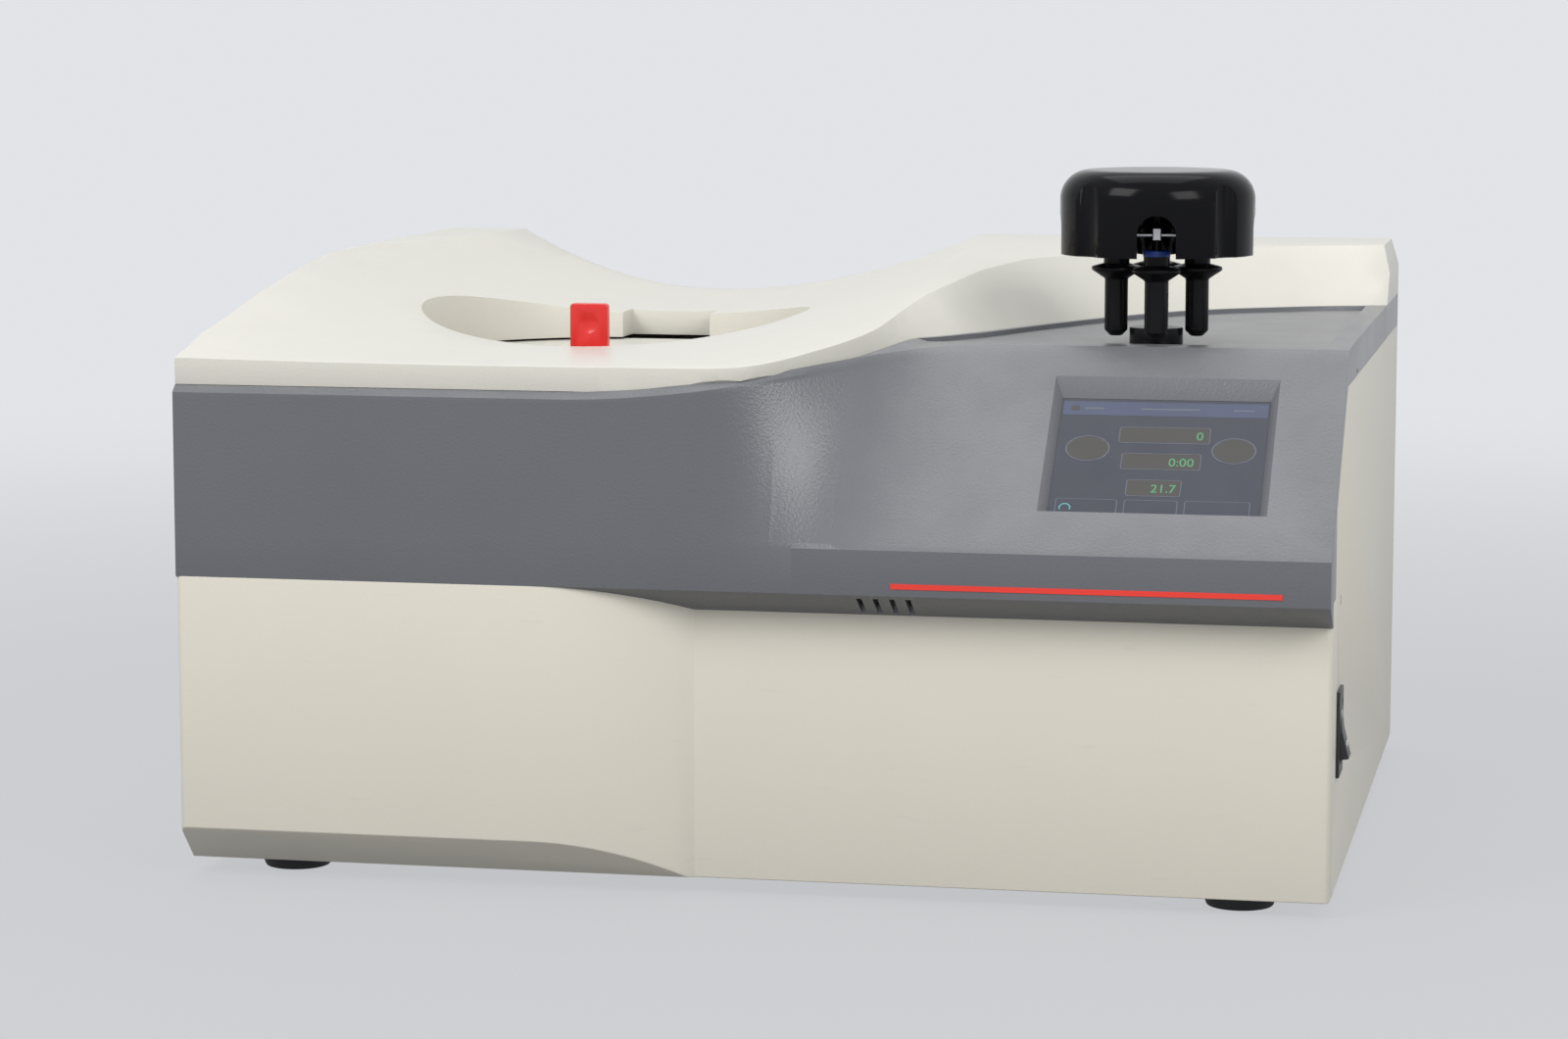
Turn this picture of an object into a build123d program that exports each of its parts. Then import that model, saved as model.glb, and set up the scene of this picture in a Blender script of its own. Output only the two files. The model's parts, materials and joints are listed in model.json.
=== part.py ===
from build123d import *
from math import cos, radians, sin, sqrt
import os

# A benchtop ultracentrifuge with its swinging-bucket rotor standing on the deck.
# Millimetres. X runs left to right, Y from front to back, Z up. The origin is on
# the bench, under the middle of the cabinet.

# Cabinet
width = 706.0
depth = 616.0
foot_height = 10.0
foot_radius = 24.0
foot_base_radius = 20.0
foot_inset_x = 56.0
foot_inset_y = 61.0
lower_panel_top = 190.0
deck_top = 332.0
corner_radius = 4.0
shell_wall = 3.0
sheet = 2.0
seam = 0.4
front_setback = 25.0
bevel_height = 15.0
chin_height = 23.0
strip_height = 27.3
panel_run = 119.0
panel_rise = 109.2
lip_run = 5.0
lip_rise = 4.2
left_face_top = 303.4
front_arc_start = -130.0
front_crease_x = -32.0
sweep_left = -92.0
sweep_right = 130.0
side_edge_back = 42.0
side_edge_turn = 242.0
side_band = 23.0
ledge = 8.0

# Cover, bowl and deck tray
cover_top = 371.0
cover_wall = 4.0
cover_front_top = 322.5
valley_front = 321.0
valley_rear = 328.0
trough_left = 205.0
trough_right = 230.0
trough_left_rear = 148.0
trough_right_rear = 198.0
bowl_x = -148.0
bowl_y = -8.0
bowl_radius = 130.0
bowl_wall = 3.0
notch_left = 27.0
notch_right = 36.0
notch_back = 155.0
tray_depth = 3.0
tray_lip = 14.0

# Sliding chamber door and its rails
door_top = 305.0
door_thickness = 20.0
door_width = 256.0
door_front = 92.0
door_rear = 137.0
door_slot = 1.5
door_gap = 0.4
rear_gap = 1.6
rail_width = 16.0
tongue = 8.0
tongue_height = 7.0
handle_width = 25.0
handle_thickness = 7.0
handle_rise = 39.5
handle_setback = 17.0
handle_corner = 2.5
dimple_radius = 6.5
dimple_depth = 1.2

# Vacuum chamber
mouth_radius = 80.0
plate_thickness = 14.0
plate_margin = 42.0
sill_gap = 0.4
chamber_radius = 94.0
chamber_wall = 4.0
chamber_depth = 104.0
ring_wall = 16.0
seal_radius = 85.0
seal_width = 5.0
seal_depth = 4.0
seal_proud = 0.2

# Drive
drive_radius = 50.0
drive_height = 92.0
drive_flange = 66.0
drive_flange_thickness = 8.0
drive_lift = 34.0
spindle_radius = 5.0
hub_radius = 9.0
hub_height = 22.0
hub_nose_radius = 5.9
hub_nose_height = 18.0
running_gap = 0.05
bearing_height = 10.0
bearing_radius = 15.0
isolator_radius = 10.0
isolator_circle = 58.0
isolator_count = 3

# Cooling and fan
cooler_size = 40.0
cooler_thickness = 5.0
cooler_circle = 72.0
sink_base = 6.0
sink_fin = 24.0
sink_length = 190.0
fin_count = 15
fin_thickness = 2.0
fan_z = 104.0
fan_size = 120.0
fan_depth = 30.0
fan_bore = 56.0
fan_hub = 20.0
fan_blades = 7
fan_tip_gap = 2.0
blade_thickness = 2.0
guard_rings = 4

# Screen
screen_x = 245.0
screen_width = 126.0
screen_height = 94.0
screen_start = 35.5
bezel_side = 5.2
bezel_top = 13.0
bezel_bottom = 1.5
bezel_depth = 6.0
glass_thickness = 2.0
glass_gap = 0.3
module_thickness = 12.0
board_thickness = 1.6

# Front details
vent_count = 4
vent_x = 73.4
vent_pitch = 9.9
vent_width = 3.2
vent_length = 18.0
stripe_x = (93.0, 325.0)
stripe_z = 196.0
stripe_height = 3.2
stripe_thickness = 0.4

# Rotor and buckets
rotor_x = 230.0
rotor_y = -137.0
rotor_turn = 6.0
rotor_radius = 60.3
rotor_lift = 56.0
rotor_height = 52.0
rotor_shoulder = 18.0
window_width = 23.5
window_height = 26.2
bucket_count = 4
bucket_circle = 25.0
pivot_rise = 13.0
bucket_reach = 64.0
bucket_radius = 7.2
bucket_tip = 3.6
collar_radius = 15.5
collar_drop = 22.0
collar_slope = 6.5
cap_radius = 8.0
cap_height = 6.0
cap_ring_height = 3.0
cap_ring_radius = 8.3
neck_height = 10.0
eye_radius = 3.6
hanger_width = 5.0
pin_radius = 1.5
pin_seat = 3.0
slot_half = 16.0
slot_reach = 52.6
slot_height = 29.5
rotor_hub_radius = 13.0
rotor_bore = 6.0
bore_depth = 26.0
flute_radius = 18.0
flute_depth = 3.2
flute_height = 44.0
stand_radius = 16.6
stand_base = 10.4
stand_post_radius = 7.0
bush_flange = 8.0
bush_pin = 3.0
bush_nose = 14.0

# Power switch on the right side
switch_y = -231.0
switch_z = 105.0
switch_width = 30.0
switch_length = 52.0
switch_proud = 2.0
rocker_width = 20.0
rocker_length = 38.0
rocker_reach = 5.0
rocker_tilt = 10.0
switch_depth = 26.0
rocker_gap = 0.35
rocker_pin = 2.0
rocker_pivot = 6.0
switch_can_width = 24.0
switch_can_length = 42.0

# Vacuum pump and its exhaust at the rear
lift_gap = 0.3
pump_x = 96.0
pump_width = 90.0
pump_length = 90.0
pump_height = 110.0
pump_setback = 76.0
pump_foot = 5.0
pump_base = 6.5
motor_radius = 42.0
motor_length = 110.0
mount_radius = 8.0
barb_z = 90.0
barb_radius = 6.0
barb_pipe = 5.0
barb_bore = 4.0
barb_length = 8.0
diffusion_x = 16.0
diffusion_y = -60.0
diffusion_radius = 28.0
diffusion_height = 110.0
diffusion_rings = 6
hose_radius = 9.0
hose_bend = 24.0

# Electrics
inlet_x = 290.0
inlet_z = 60.0
inlet_width = 28.0
inlet_height = 24.0
inlet_depth = 26.0
supply_width = 160.0
supply_length = 155.0
supply_height = 90.0
supply_side = 11.0
supply_rear = 33.0
board_width = 170.0
board_length = 230.0
board_side = 18.0
board_front = 118.0
board_post = 4.0
board_lift = 10.0
can_radius = 16.0
can_height = 52.0
can_count = 4
fins_length = 60.0
fins_height = 40.0
board_fins = 12
coil_radius = 58.0
coil_hole = 16.0
coil_height = 62.0
coil_inset = 138.0

# Door lock
bolt_radius = 3.0
bolt_length = 34.0
lock_y = 40.0
lock_width = 28.0
lock_height = 24.0
lock_side = 12.0
lock_arm = 3.0
leg = 16.0

# Outlines below are drawn for half this width and half this depth
drawn_half = 353.0
drawn_rear = 308.0

# Places worked out from the sizes above
half = width / 2
front_y = -depth / 2
rear_y = depth / 2
recess_y = front_y + front_setback
bottom_z = foot_height
strip_top = lower_panel_top + strip_height
panel_top = strip_top + panel_rise
side_y = front_y + side_edge_back
band_z = deck_top - side_band
seam_z = left_face_top + lip_rise
across = half / drawn_half
along = rear_y / drawn_rear
sweep_x = (sweep_left * across, sweep_right * across)
panel_slope = panel_run / panel_rise
side_top_y = side_y + (band_z - side_edge_turn) * panel_slope
door_bottom = door_top - door_thickness
plate_top = door_bottom - door_gap
plate_bottom = plate_top - plate_thickness
well_floor = plate_bottom - chamber_depth
door_y = (bowl_y - door_front, bowl_y + door_rear)
door_x = (bowl_x - door_width / 2, bowl_x + door_width / 2)
rail_x = (door_x[0] - rail_width, door_x[1] + rail_width)
door_middle = (door_bottom + door_top) / 2
rail_top = door_top - 0.5
rail_end = rear_y - sheet - rear_gap
lock_x = -half + shell_wall + lock_side
tray_floor = deck_top - tray_depth
rotor_bottom = tray_floor + rotor_lift
pivot_z = rotor_bottom + pivot_rise
pan_top = bottom_z + sheet
cap_base = cap_height + cap_ring_height + neck_height
pump_y = (rear_y - pump_setback - pump_length, rear_y - pump_setback)
pump_z = (pan_top + 2 + pump_base, pan_top + 2 + pump_base + pump_height)
supply_x = (half - supply_side - supply_width, half - supply_side)
supply_y = (rear_y - supply_rear - supply_length, rear_y - supply_rear)
board_x = (half - board_side - board_width, half - board_side)
board_y = (front_y + board_front, front_y + board_front + board_length)
board_z = pan_top + board_lift
coil_x = -half + coil_inset
coil_y = rear_y - coil_inset
drive_bottom = pan_top + drive_lift
drive_top = drive_bottom + drive_height
slope_length = sqrt(panel_run**2 + panel_rise**2)

# The line where the cover meets the grey housing, seen from above: across the
# front, round the sweep, then along the foot of the sloped wall beside the deck.
# Each point is X, Y, Z and how far the wall leans back for each millimetre up.
drawn_path = [
    (sweep_left, -303, seam_z, 0.0),
    (-44, -302, seam_z + 3, 0.0),
    (2, -295, seam_z + 8, 0.0),
    (24, -272, seam_z + 11, 0.05),
    (46, -243, seam_z + 14, 0.1),
    (66, -214, seam_z + 20, 0.25),
    (81, -184, deck_top, 0.5),
    (93, -155, deck_top, 0.8),
    (114, -108, deck_top, 1.0),
    (137, -50, deck_top, 1.05),
    (162, 7, deck_top, 1.05),
    (188, 56, deck_top, 1.05),
    (216, 99, deck_top, 1.05),
    (246, 128, deck_top, 1.05),
    (278, 149, deck_top, 1.05),
    (303, 164, deck_top, 1.05),
    (338, 178, deck_top, 1.05),
    (359, 184, deck_top, 1.05),
]
seam_path = [(x * across, y * along, z, lean) for x, y, z, lean in drawn_path]

# Height of the cover's edges and of its trough along Y, and where its top is drawn
edge_rows = [
    (-308, 322.5),
    (-254, 335),
    (-200, 343),
    (-148, 352),
    (-80, 361),
    (-36, 366.5),
    (20, 370.5),
    (70, 371),
]
valley_rows = [(-308, cover_front_top), (-150, valley_front), (120, valley_front + 1), (308, valley_rear)]
stations = [-310, -282, -254, -200, -148, -80, -36, 20, 80, 160, 235, 310]


def block(x, y, z):
    """A box from three (low, high) pairs."""
    size = Box(x[1] - x[0], y[1] - y[0], z[1] - z[0])
    return Pos((x[0] + x[1]) / 2, (y[0] + y[1]) / 2, (z[0] + z[1]) / 2) * size


def post(radius, x, y, z):
    """An upright cylinder from z[0] to z[1]."""
    return Pos(x, y, (z[0] + z[1]) / 2) * Cylinder(radius, z[1] - z[0])


def ring(outer, inner, x, y, z):
    """An upright tube from z[0] to z[1]."""
    return post(outer, x, y, z) - post(inner, x, y, (z[0] - 1, z[1] + 1))


def along_x(radius, x, y, z):
    """A cylinder lying along X from x[0] to x[1]."""
    return Pos((x[0] + x[1]) / 2, y, z) * Rot(0, 90, 0) * Cylinder(radius, x[1] - x[0])


def along_y(radius, x, y, z):
    """A cylinder lying along Y from y[0] to y[1]."""
    return Pos(x, (y[0] + y[1]) / 2, z) * Rot(90, 0, 0) * Cylinder(radius, y[1] - y[0])


def turned(profile):
    """A solid of revolution about the Z axis from (radius, z) points."""
    face = make_face(Polyline(*[(r, 0, z) for r, z in profile], close=True))
    return revolve(face, Axis.Z)


def side_prism(points, x):
    """A prism along X from x[0] to x[1] with (y, z) corners."""
    face = make_face(Polyline(*[(x[0], y, z) for y, z in points], close=True))
    return extrude(face, x[1] - x[0], dir=(1, 0, 0))


def plan_prism(edges, z):
    """A prism from z[0] to z[1] over a closed run of plan edges."""
    return Pos(0, 0, z[0]) * extrude(make_face(edges), z[1] - z[0], dir=(0, 0, 1))


def smooth(u):
    """A step from 0 to 1 with level ends."""
    u = min(1.0, max(0.0, u))
    return u * u * (3 - 2 * u)


def eased(rows, at):
    """The value at a place in (place, value) rows, along a smooth curve."""
    last = len(rows) - 1
    for i in range(last):
        if at <= rows[i + 1][0]:
            break
    (a, low), (b, high) = rows[i], rows[i + 1]
    before = rows[max(0, i - 1)]
    after = rows[min(last, i + 2)]
    start = (high - before[1]) / (b - before[0])
    end = (after[1] - low) / (after[0] - a)
    u = min(1.0, max(0.0, (at - a) / (b - a)))
    run = b - a
    pull = start * run * u * (1 - u) ** 2 - end * run * u * u * (1 - u)
    return low + (high - low) * smooth(u) + pull


def between(rows, at):
    """The value at a place in a list of (place, value) rows, in straight runs."""
    for (a, low), (b, high) in zip(rows, rows[1:]):
        if at <= b:
            return low + (high - low) * max(0.0, at - a) / (b - a)
    return rows[-1][1]


def front_region(inset, back, z):
    """The cabinet's plan behind its curved front line, as a solid over z."""
    start = (front_arc_start * across, front_y + inset)
    crease = (front_crease_x * across, recess_y + inset)
    left = -half + inset
    right = half - inset
    edges = [
        Line((left, start[1]), start),
        TangentArc(start, crease, tangent=(1, 0)),
        Polyline(crease, (right, crease[1]), (right, back), (left, back), (left, start[1])),
    ]
    return plan_prism(edges, z)


def chin(back):
    """What the slanting chin takes off, moved back by back."""
    y = front_y + back
    corners = [(y - 9, bottom_z - 5), (y - 9, bottom_z + chin_height), (y, bottom_z + chin_height)]
    corners.append((y + chin_height + 5, bottom_z - 5))
    return side_prism(corners, (-half - 1, half + 1))


def lower_front_panel():
    outer = front_region(0, side_y - seam, (bottom_z, lower_panel_top))
    upright = outer.edges().filter_by(Axis.Z)
    corners = upright.filter_by(lambda e: abs(e.center().X) > half - 1 and e.center().Y < side_y - 5)
    outer = fillet(corners, corner_radius) - chin(0)
    inner = front_region(shell_wall, side_y + 5, (bottom_z - 1, lower_panel_top + 1))
    return outer - (inner - chin(shell_wall))


def crest(x):
    """Y and Z of the front face's top edge, which sweeps back from left to right."""
    drawn_x = x / across
    y = front_y + panel_run * smooth((drawn_x + 15) / 125)
    z = left_face_top + (panel_top - left_face_top) * min(1.0, max(0.0, (drawn_x + 95) / 225))
    return y, z


def fascia_section(x, wall):
    """The front housing's outline in the YZ plane at x, moved inwards by wall."""
    crest_y, crest_z = crest(x)
    rows = seam_path[:8]
    seam_y = max(eased([(p[0], p[1]) for p in rows], x), crest_y + lip_run + 2)
    top = eased([(p[0], p[2]) for p in rows], x)
    back = recess_y + 190 + wall
    low = lower_panel_top - wall
    points = [
        (front_y + wall, low),
        (front_y + wall, strip_top - 0.44 * wall),
        (crest_y + 0.95 * wall, crest_z - 0.9 * wall),
        (crest_y + lip_run + 0.5 * wall, crest_z + lip_rise - wall),
        (seam_y + 0.6 * wall, top - wall),
        (back, top - wall),
        (back, low),
    ]
    return Polyline(*[(x, y, z) for y, z in points], close=True)


def fascia_form(wall):
    """Left face, sweep and tilted panel as one closed form."""
    left_run = half + sweep_x[0] - wall
    right_run = half - sweep_x[1] - wall
    left = extrude(make_face(fascia_section(sweep_x[0], wall)), left_run, dir=(-1, 0, 0))
    right = extrude(make_face(fascia_section(sweep_x[1], wall)), right_run, dir=(1, 0, 0))
    places = [sweep_x[0], *[x * across for x in (-60, -30, 0, 20, 40, 60, 80, 100)], sweep_x[1]]
    middle = loft([make_face(fascia_section(x, wall)) for x in places], ruled=True)
    return left + middle + right


def deck_region(edge, foot, z):
    """The deck's plan, edge in from the front and right and foot in from the cover."""
    span = slice(7, -2) if foot else slice(6, -1)
    path = [(x + 0.9 * foot, y - 0.5 * foot) for x, y, _, _ in seam_path[span]]
    end = path[-1]
    right = half - edge
    front = crest(sweep_x[1])[0] + lip_run + edge
    if foot:
        rest = [end, (right, end[1] + 0.35 * (right - end[0])), (right, front)]
        rest += [(path[0][0] - 2 * edge / 3, front), path[0]]
    else:
        rest = [end, (end[0], rear_y - sheet), (right, rear_y - sheet), (right, front), path[0]]
    return plan_prism([Spline(*path), Polyline(*rest)], z)


def housing_form():
    return fascia_form(0) + deck_region(0, 0, (band_z, deck_top))


def cover_plan(inset, z_high):
    """The cover's plan form, its walls leaning back from the seam, inset all round."""

    def outline(z):
        path = []
        for i, (x, y, foot_z, lean) in enumerate(seam_path):
            before = seam_path[max(0, i - 1)]
            after = seam_path[min(len(seam_path) - 1, i + 1)]
            run = Vector(after[0] - before[0], after[1] - before[1]).normalized()
            shift = lean * (z - foot_z) + inset
            path.append((x - run.Y * shift, y + run.X * shift, z))
        left = -half + inset
        rear = rear_y - inset
        start = (left, front_y + 5 + inset, z)
        end = (path[-1][0], rear, z)
        return make_face([Spline(*path), Polyline(path[-1], end, (left, rear, z), start, path[0])])

    plan = loft([outline(seam_z - 10), outline(z_high)], ruled=True)
    return plan & block((-half + inset, half - inset), (front_y, rear_y - inset), (0, z_high))


def cover_surface(drop):
    """The space under the cover's trough-shaped top, lowered by drop."""
    faces = []
    for drawn_y in stations:
        y = drawn_y * along
        edge = between(edge_rows, drawn_y)
        valley = min(between(valley_rows, drawn_y), edge - 0.2)
        share = smooth((y - bowl_y) / (rear_y - bowl_y))
        left = across * (trough_left + (trough_left_rear - trough_left) * share)
        right = across * (trough_right + (trough_right_rear - trough_right) * share)
        trough = [
            (bowl_x + (left if u < 0 else right) * u, y, valley + (edge - valley) * u * u - drop)
            for u in (-1, -0.6, -0.3, 0, 0.3, 0.6, 1)
        ]
        wide = half + 10
        high = edge - drop
        low = seam_z - 20
        sides = [trough[-1], (wide, y, high), (wide, y, low), (-wide, y, low), (-wide, y, high), trough[0]]
        faces.append(make_face([Spline(*trough), Polyline(*sides)]))
    return loft(faces, ruled=True)


def bowl_space(radius, z):
    return post(radius, bowl_x, bowl_y, z)


def notch_space(wall, z):
    """The notch behind the bowl that the handle runs into."""
    x = (bowl_x - notch_left - wall, bowl_x + notch_right + wall)
    return block(x, (bowl_y, bowl_y + notch_back + wall), z)


def top_cover():
    low = door_top + door_slot
    body = cover_surface(0) & cover_plan(0, cover_top + 30)
    hollow = cover_surface(cover_wall) & cover_plan(cover_wall, cover_top + 30)
    walls = body & (bowl_space(bowl_radius + bowl_wall, (low, 400)) + notch_space(bowl_wall, (low, 400)))
    shell = body - hollow - block((-half, half), (front_y, rear_y), (seam_z - 30, seam_z))
    shell = shell + walls
    shell = shell - bowl_space(bowl_radius, (low - 1, 400)) - notch_space(0, (low - 1, 400))
    return shell - housing_form() - side_space(seam) - rear_space(seam)


def side_corners():
    """The right side panel's outline."""
    return [
        (side_y, bottom_z),
        (side_y, side_edge_turn),
        (side_top_y, band_z),
        (rear_y - sheet, band_z),
        (rear_y - sheet, bottom_z),
    ]


def left_corners():
    """The left side panel's outline, straight up to the cover."""
    return [(side_y, bottom_z), (side_y, seam_z), (rear_y - sheet, seam_z), (rear_y - sheet, bottom_z)]


def side_space(gap):
    """What both side panels take up, with a seam round them."""
    shift = [(y - gap if y < 0 else y, z) for y, z in side_corners()]
    right = side_prism(shift, (half - shell_wall, half + 1))
    shift = [(y - gap if y < 0 else y, z) for y, z in left_corners()]
    return right + side_prism(shift, (-half - 1, -half + shell_wall))


def rear_space(gap):
    return block((-half, half), (rear_y - sheet, rear_y + 1), (bottom_z, seam_z))


def panel_plane(up):
    """A plane on the tilted panel, up millimetres along its slope from the strip."""
    run = panel_run / slope_length
    rise = panel_rise / slope_length
    origin = (screen_x * across, front_y + up * run, strip_top + up * rise)
    return Plane(origin=origin, x_dir=(1, 0, 0), z_dir=(0, -rise, run))


def screen_plane():
    return panel_plane(screen_start + screen_height / 2)


def bezel_recess():
    """The mitred recess round the glass."""
    plane = screen_plane()
    shift = (bezel_top - bezel_bottom) / 2
    outer = plane * Pos(0, shift) * Rectangle(
        screen_width + 2 * bezel_side, screen_height + bezel_top + bezel_bottom
    )
    inner = plane.offset(-bezel_depth) * Rectangle(screen_width, screen_height)
    return loft([inner, outer], ruled=True)


def control_housing():
    outer = housing_form()
    deep = shell_wall + tray_depth
    deck_front = crest(sweep_x[1])[0] - 30
    inner = fascia_form(shell_wall) - block((0, half), (deck_front, 0), (deck_top - deep, 400))
    inner = inner + deck_region(shell_wall, shell_wall / 2, (band_z - 1, deck_top - deep))
    inner = inner + block((-half + 9, half - 9), (side_top_y, 0), (100, band_z + 1))
    shell = outer - inner - cover_plan(ledge, cover_top + 30)
    corner = [(front_y, lower_panel_top), (recess_y, lower_panel_top - bevel_height)]
    corner += [(recess_y + 4, lower_panel_top - bevel_height), (recess_y + 4, lower_panel_top)]
    wedge = side_prism(corner, (-half + 0.5, half)) - front_region(-seam / 2, 0, (0, lower_panel_top + 1))
    plane = screen_plane()
    boss = Rectangle(screen_width + 2 * bezel_side + 8, screen_height + 2 * bezel_top + 4)
    boss = extrude(plane.offset(-bezel_depth - glass_thickness) * boss, bezel_depth)
    opening = Rectangle(screen_width + 2 * glass_gap, screen_height + 2 * glass_gap)
    pocket = extrude(plane.offset(-40) * opening, 40 - bezel_depth)
    shell = shell + wedge + boss - bezel_recess() - pocket
    shell = shell - deck_region(tray_lip, tray_lip / 3, (tray_floor, deck_top + 1))
    for i in range(vent_count):
        x = vent_x * across + i * vent_pitch
        y = (front_y + 4, front_y + 4 + vent_length)
        shell = shell - block((x - vent_width / 2, x + vent_width / 2), y, (160, strip_top - 12))
    return shell - side_space(seam) - rear_space(0)


def stripe_inlay():
    z = (stripe_z - stripe_height / 2, stripe_z + stripe_height / 2)
    x = (stripe_x[0] * across, stripe_x[1] * across)
    return block(x, (front_y - stripe_thickness, front_y), z)


def side_panels():
    right = side_prism(side_corners(), (half - shell_wall, half))
    y = (switch_y - switch_can_width / 2, switch_y + switch_can_width / 2)
    z = (switch_z - switch_can_length / 2, switch_z + switch_can_length / 2)
    hole = block((half - 10, half + 10), y, z)
    left = side_prism(left_corners(), (-half, -half + shell_wall))
    return right - hole, left


def base_pan():
    y = (front_y + chin_height + 12, rear_y - sheet)
    x = (-half + shell_wall, half - shell_wall)
    inside = block((x[0] + sheet, x[1] - sheet), (y[0] + sheet, y[1] - sheet), (pan_top, bottom_z + 21))
    pan = block(x, y, (bottom_z, bottom_z + 20)) - inside
    slots = [block((-250 + 14 * i, -244 + 14 * i), (-80, 60), (0, pan_top + 1)) for i in range(15)]
    return pan - slots


def feet():
    shapes = []
    profile = [(0, 0), (foot_base_radius, 0), (foot_radius, foot_height), (0, foot_height)]
    for x, y in foot_places():
        shapes.append(Pos(x, y, 0) * turned(profile))
    return shapes


def foot_places():
    xs = (-half + foot_inset_x, half - foot_inset_x)
    ys = (front_y + foot_inset_y, rear_y - foot_inset_y)
    return [(x, y) for x in xs for y in ys]


def rear_panel():
    panel = block((-half, half), (rear_y - sheet, rear_y), (bottom_z, seam_z))
    through = (rear_y - 9, rear_y + 9)
    panel = panel - along_y(fan_bore, bowl_x, through, fan_z)
    x, z = inlet_outline(0)
    panel = panel - block(x, through, z)
    panel = panel - along_y(barb_pipe, pump_x, through, barb_z)
    for i in range(8):
        z = 200 + i * 10
        panel = panel - block((60, half - 53), through, (z, z + 4))
    return panel


def chamber_door():
    """The plate with a tongue on each side, the left one open for the lock bolt."""
    z = (door_middle - tongue_height / 2, door_middle + tongue_height / 2)
    left = (door_x[0] - tongue, door_x[0])
    seat = bolt_radius + lift_gap
    return [
        block(door_x, door_y, (door_bottom, door_top)),
        block(left, (door_y[0], lock_y - seat), z),
        block(left, (lock_y + seat, door_y[1]), z),
        block((door_x[1], door_x[1] + tongue), door_y, z),
    ]


def handle_y():
    front = door_y[0] + handle_setback
    return front, front + handle_thickness


def door_handle():
    y = handle_y()
    tab = block((bowl_x - handle_width / 2, bowl_x + handle_width / 2), y, (door_top, door_top + handle_rise))
    upper = tab.edges().filter_by(Axis.Y).sort_by(Axis.Z)[-2:]
    tab = fillet(upper, handle_corner)
    ball_radius = (dimple_radius**2 + dimple_depth**2) / (2 * dimple_depth)
    ball = Pos(bowl_x, y[0] - ball_radius + dimple_depth, door_top + handle_rise - 13) * Sphere(ball_radius)
    foot = block((bowl_x - 15, bowl_x + 15), (y[1], y[1] + 12), (door_top, door_top + 1.2))
    return tab - ball + foot


def door_rails():
    """Two grooved rails and the sill in front of the door."""
    y = (door_y[0], rail_end)
    gap = tongue_height / 2 + door_gap
    groove_z = (door_middle - gap, door_middle + gap)
    reach = tongue + door_gap
    left = block((rail_x[0], door_x[0] - door_gap), y, (plate_top, rail_top))
    left = left - block((door_x[0] - reach, door_x[0] + 1), (y[0] - 1, y[1] + 1), groove_z)
    left = left - along_x(bolt_radius + lift_gap, (rail_x[0] - 1, door_x[0] + 1), lock_y, door_middle)
    right = block((door_x[1] + door_gap, rail_x[1]), y, (plate_top, rail_top))
    right = right - block((door_x[1] - 1, door_x[1] + reach), (y[0] - 1, y[1] + 1), groove_z)
    sill_x = (door_x[0] - door_gap, door_x[1] + door_gap)
    sill = block(sill_x, (door_y[0] - plate_margin, door_y[0] - sill_gap), (plate_top, rail_top))
    return [left, right, sill]


def chamber_plate():
    """The plate round the chamber's mouth, which the door slides over."""
    y = (door_y[0] - plate_margin, rail_end)
    plate = block((rail_x[0], rail_x[1]), y, (plate_bottom, plate_top))
    plate = plate - bowl_space(mouth_radius, (plate_bottom - 1, plate_top + 1))
    z = (plate_top - seal_depth, plate_top + 1)
    groove = ring(seal_radius + seal_width, seal_radius, bowl_x, bowl_y, z)
    return plate - groove


def chamber_seal():
    z = (plate_top - seal_depth, plate_top + seal_proud)
    return ring(seal_radius + seal_width - 0.2, seal_radius + 0.2, bowl_x, bowl_y, z)


def vacuum_chamber():
    outer = chamber_radius + chamber_wall
    cup = post(outer, bowl_x, bowl_y, (well_floor - chamber_wall, plate_bottom))
    cup = cup - bowl_space(chamber_radius, (well_floor, plate_bottom + 1))
    return cup - post(bearing_radius + 3, bowl_x, bowl_y, (well_floor - 20, well_floor + 1))


def armour_ring():
    inner = chamber_radius + chamber_wall + lift_gap
    return ring(inner + ring_wall, inner, bowl_x, bowl_y, (well_floor - chamber_wall, plate_bottom))


def drive_housing():
    body = post(drive_radius, bowl_x, bowl_y, (drive_bottom, drive_top))
    flange = post(drive_flange, bowl_x, bowl_y, (drive_bottom, drive_bottom + drive_flange_thickness))
    neck = post(bearing_radius + 2.7, bowl_x, bowl_y, (drive_top - 1, well_floor + 2))
    bore = post(bearing_radius, bowl_x, bowl_y, (drive_bottom + 20, well_floor + 3))
    return body + flange + neck - bore


def drive_bearings():
    shapes = []
    for z in (drive_bottom + 20, well_floor + 3 - bearing_height - 1):
        run = (z, z + bearing_height)
        shapes.append(ring(bearing_radius, spindle_radius + running_gap, bowl_x, bowl_y, run))
    return shapes


def drive_spindle():
    low = drive_bottom + 20
    shaft = post(spindle_radius, bowl_x, bowl_y, (low, hub_z() + 1))
    magnet = post(spindle_radius + 7, bowl_x, bowl_y, (low + 22, low + 52))
    return shaft + magnet


def hub_z():
    return well_floor + 4.0


def spindle_hub():
    z = hub_z()
    top = z + hub_height + hub_nose_height
    profile = [(0, z + 1), (0, top), (hub_nose_radius - 2, top)]
    profile += [(hub_nose_radius, top - 2), (hub_nose_radius, z + hub_height)]
    profile += [(hub_radius, z + hub_height), (hub_radius, z), (spindle_radius, z), (spindle_radius, z + 1)]
    return Pos(bowl_x, bowl_y, 0) * turned(profile)


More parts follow.
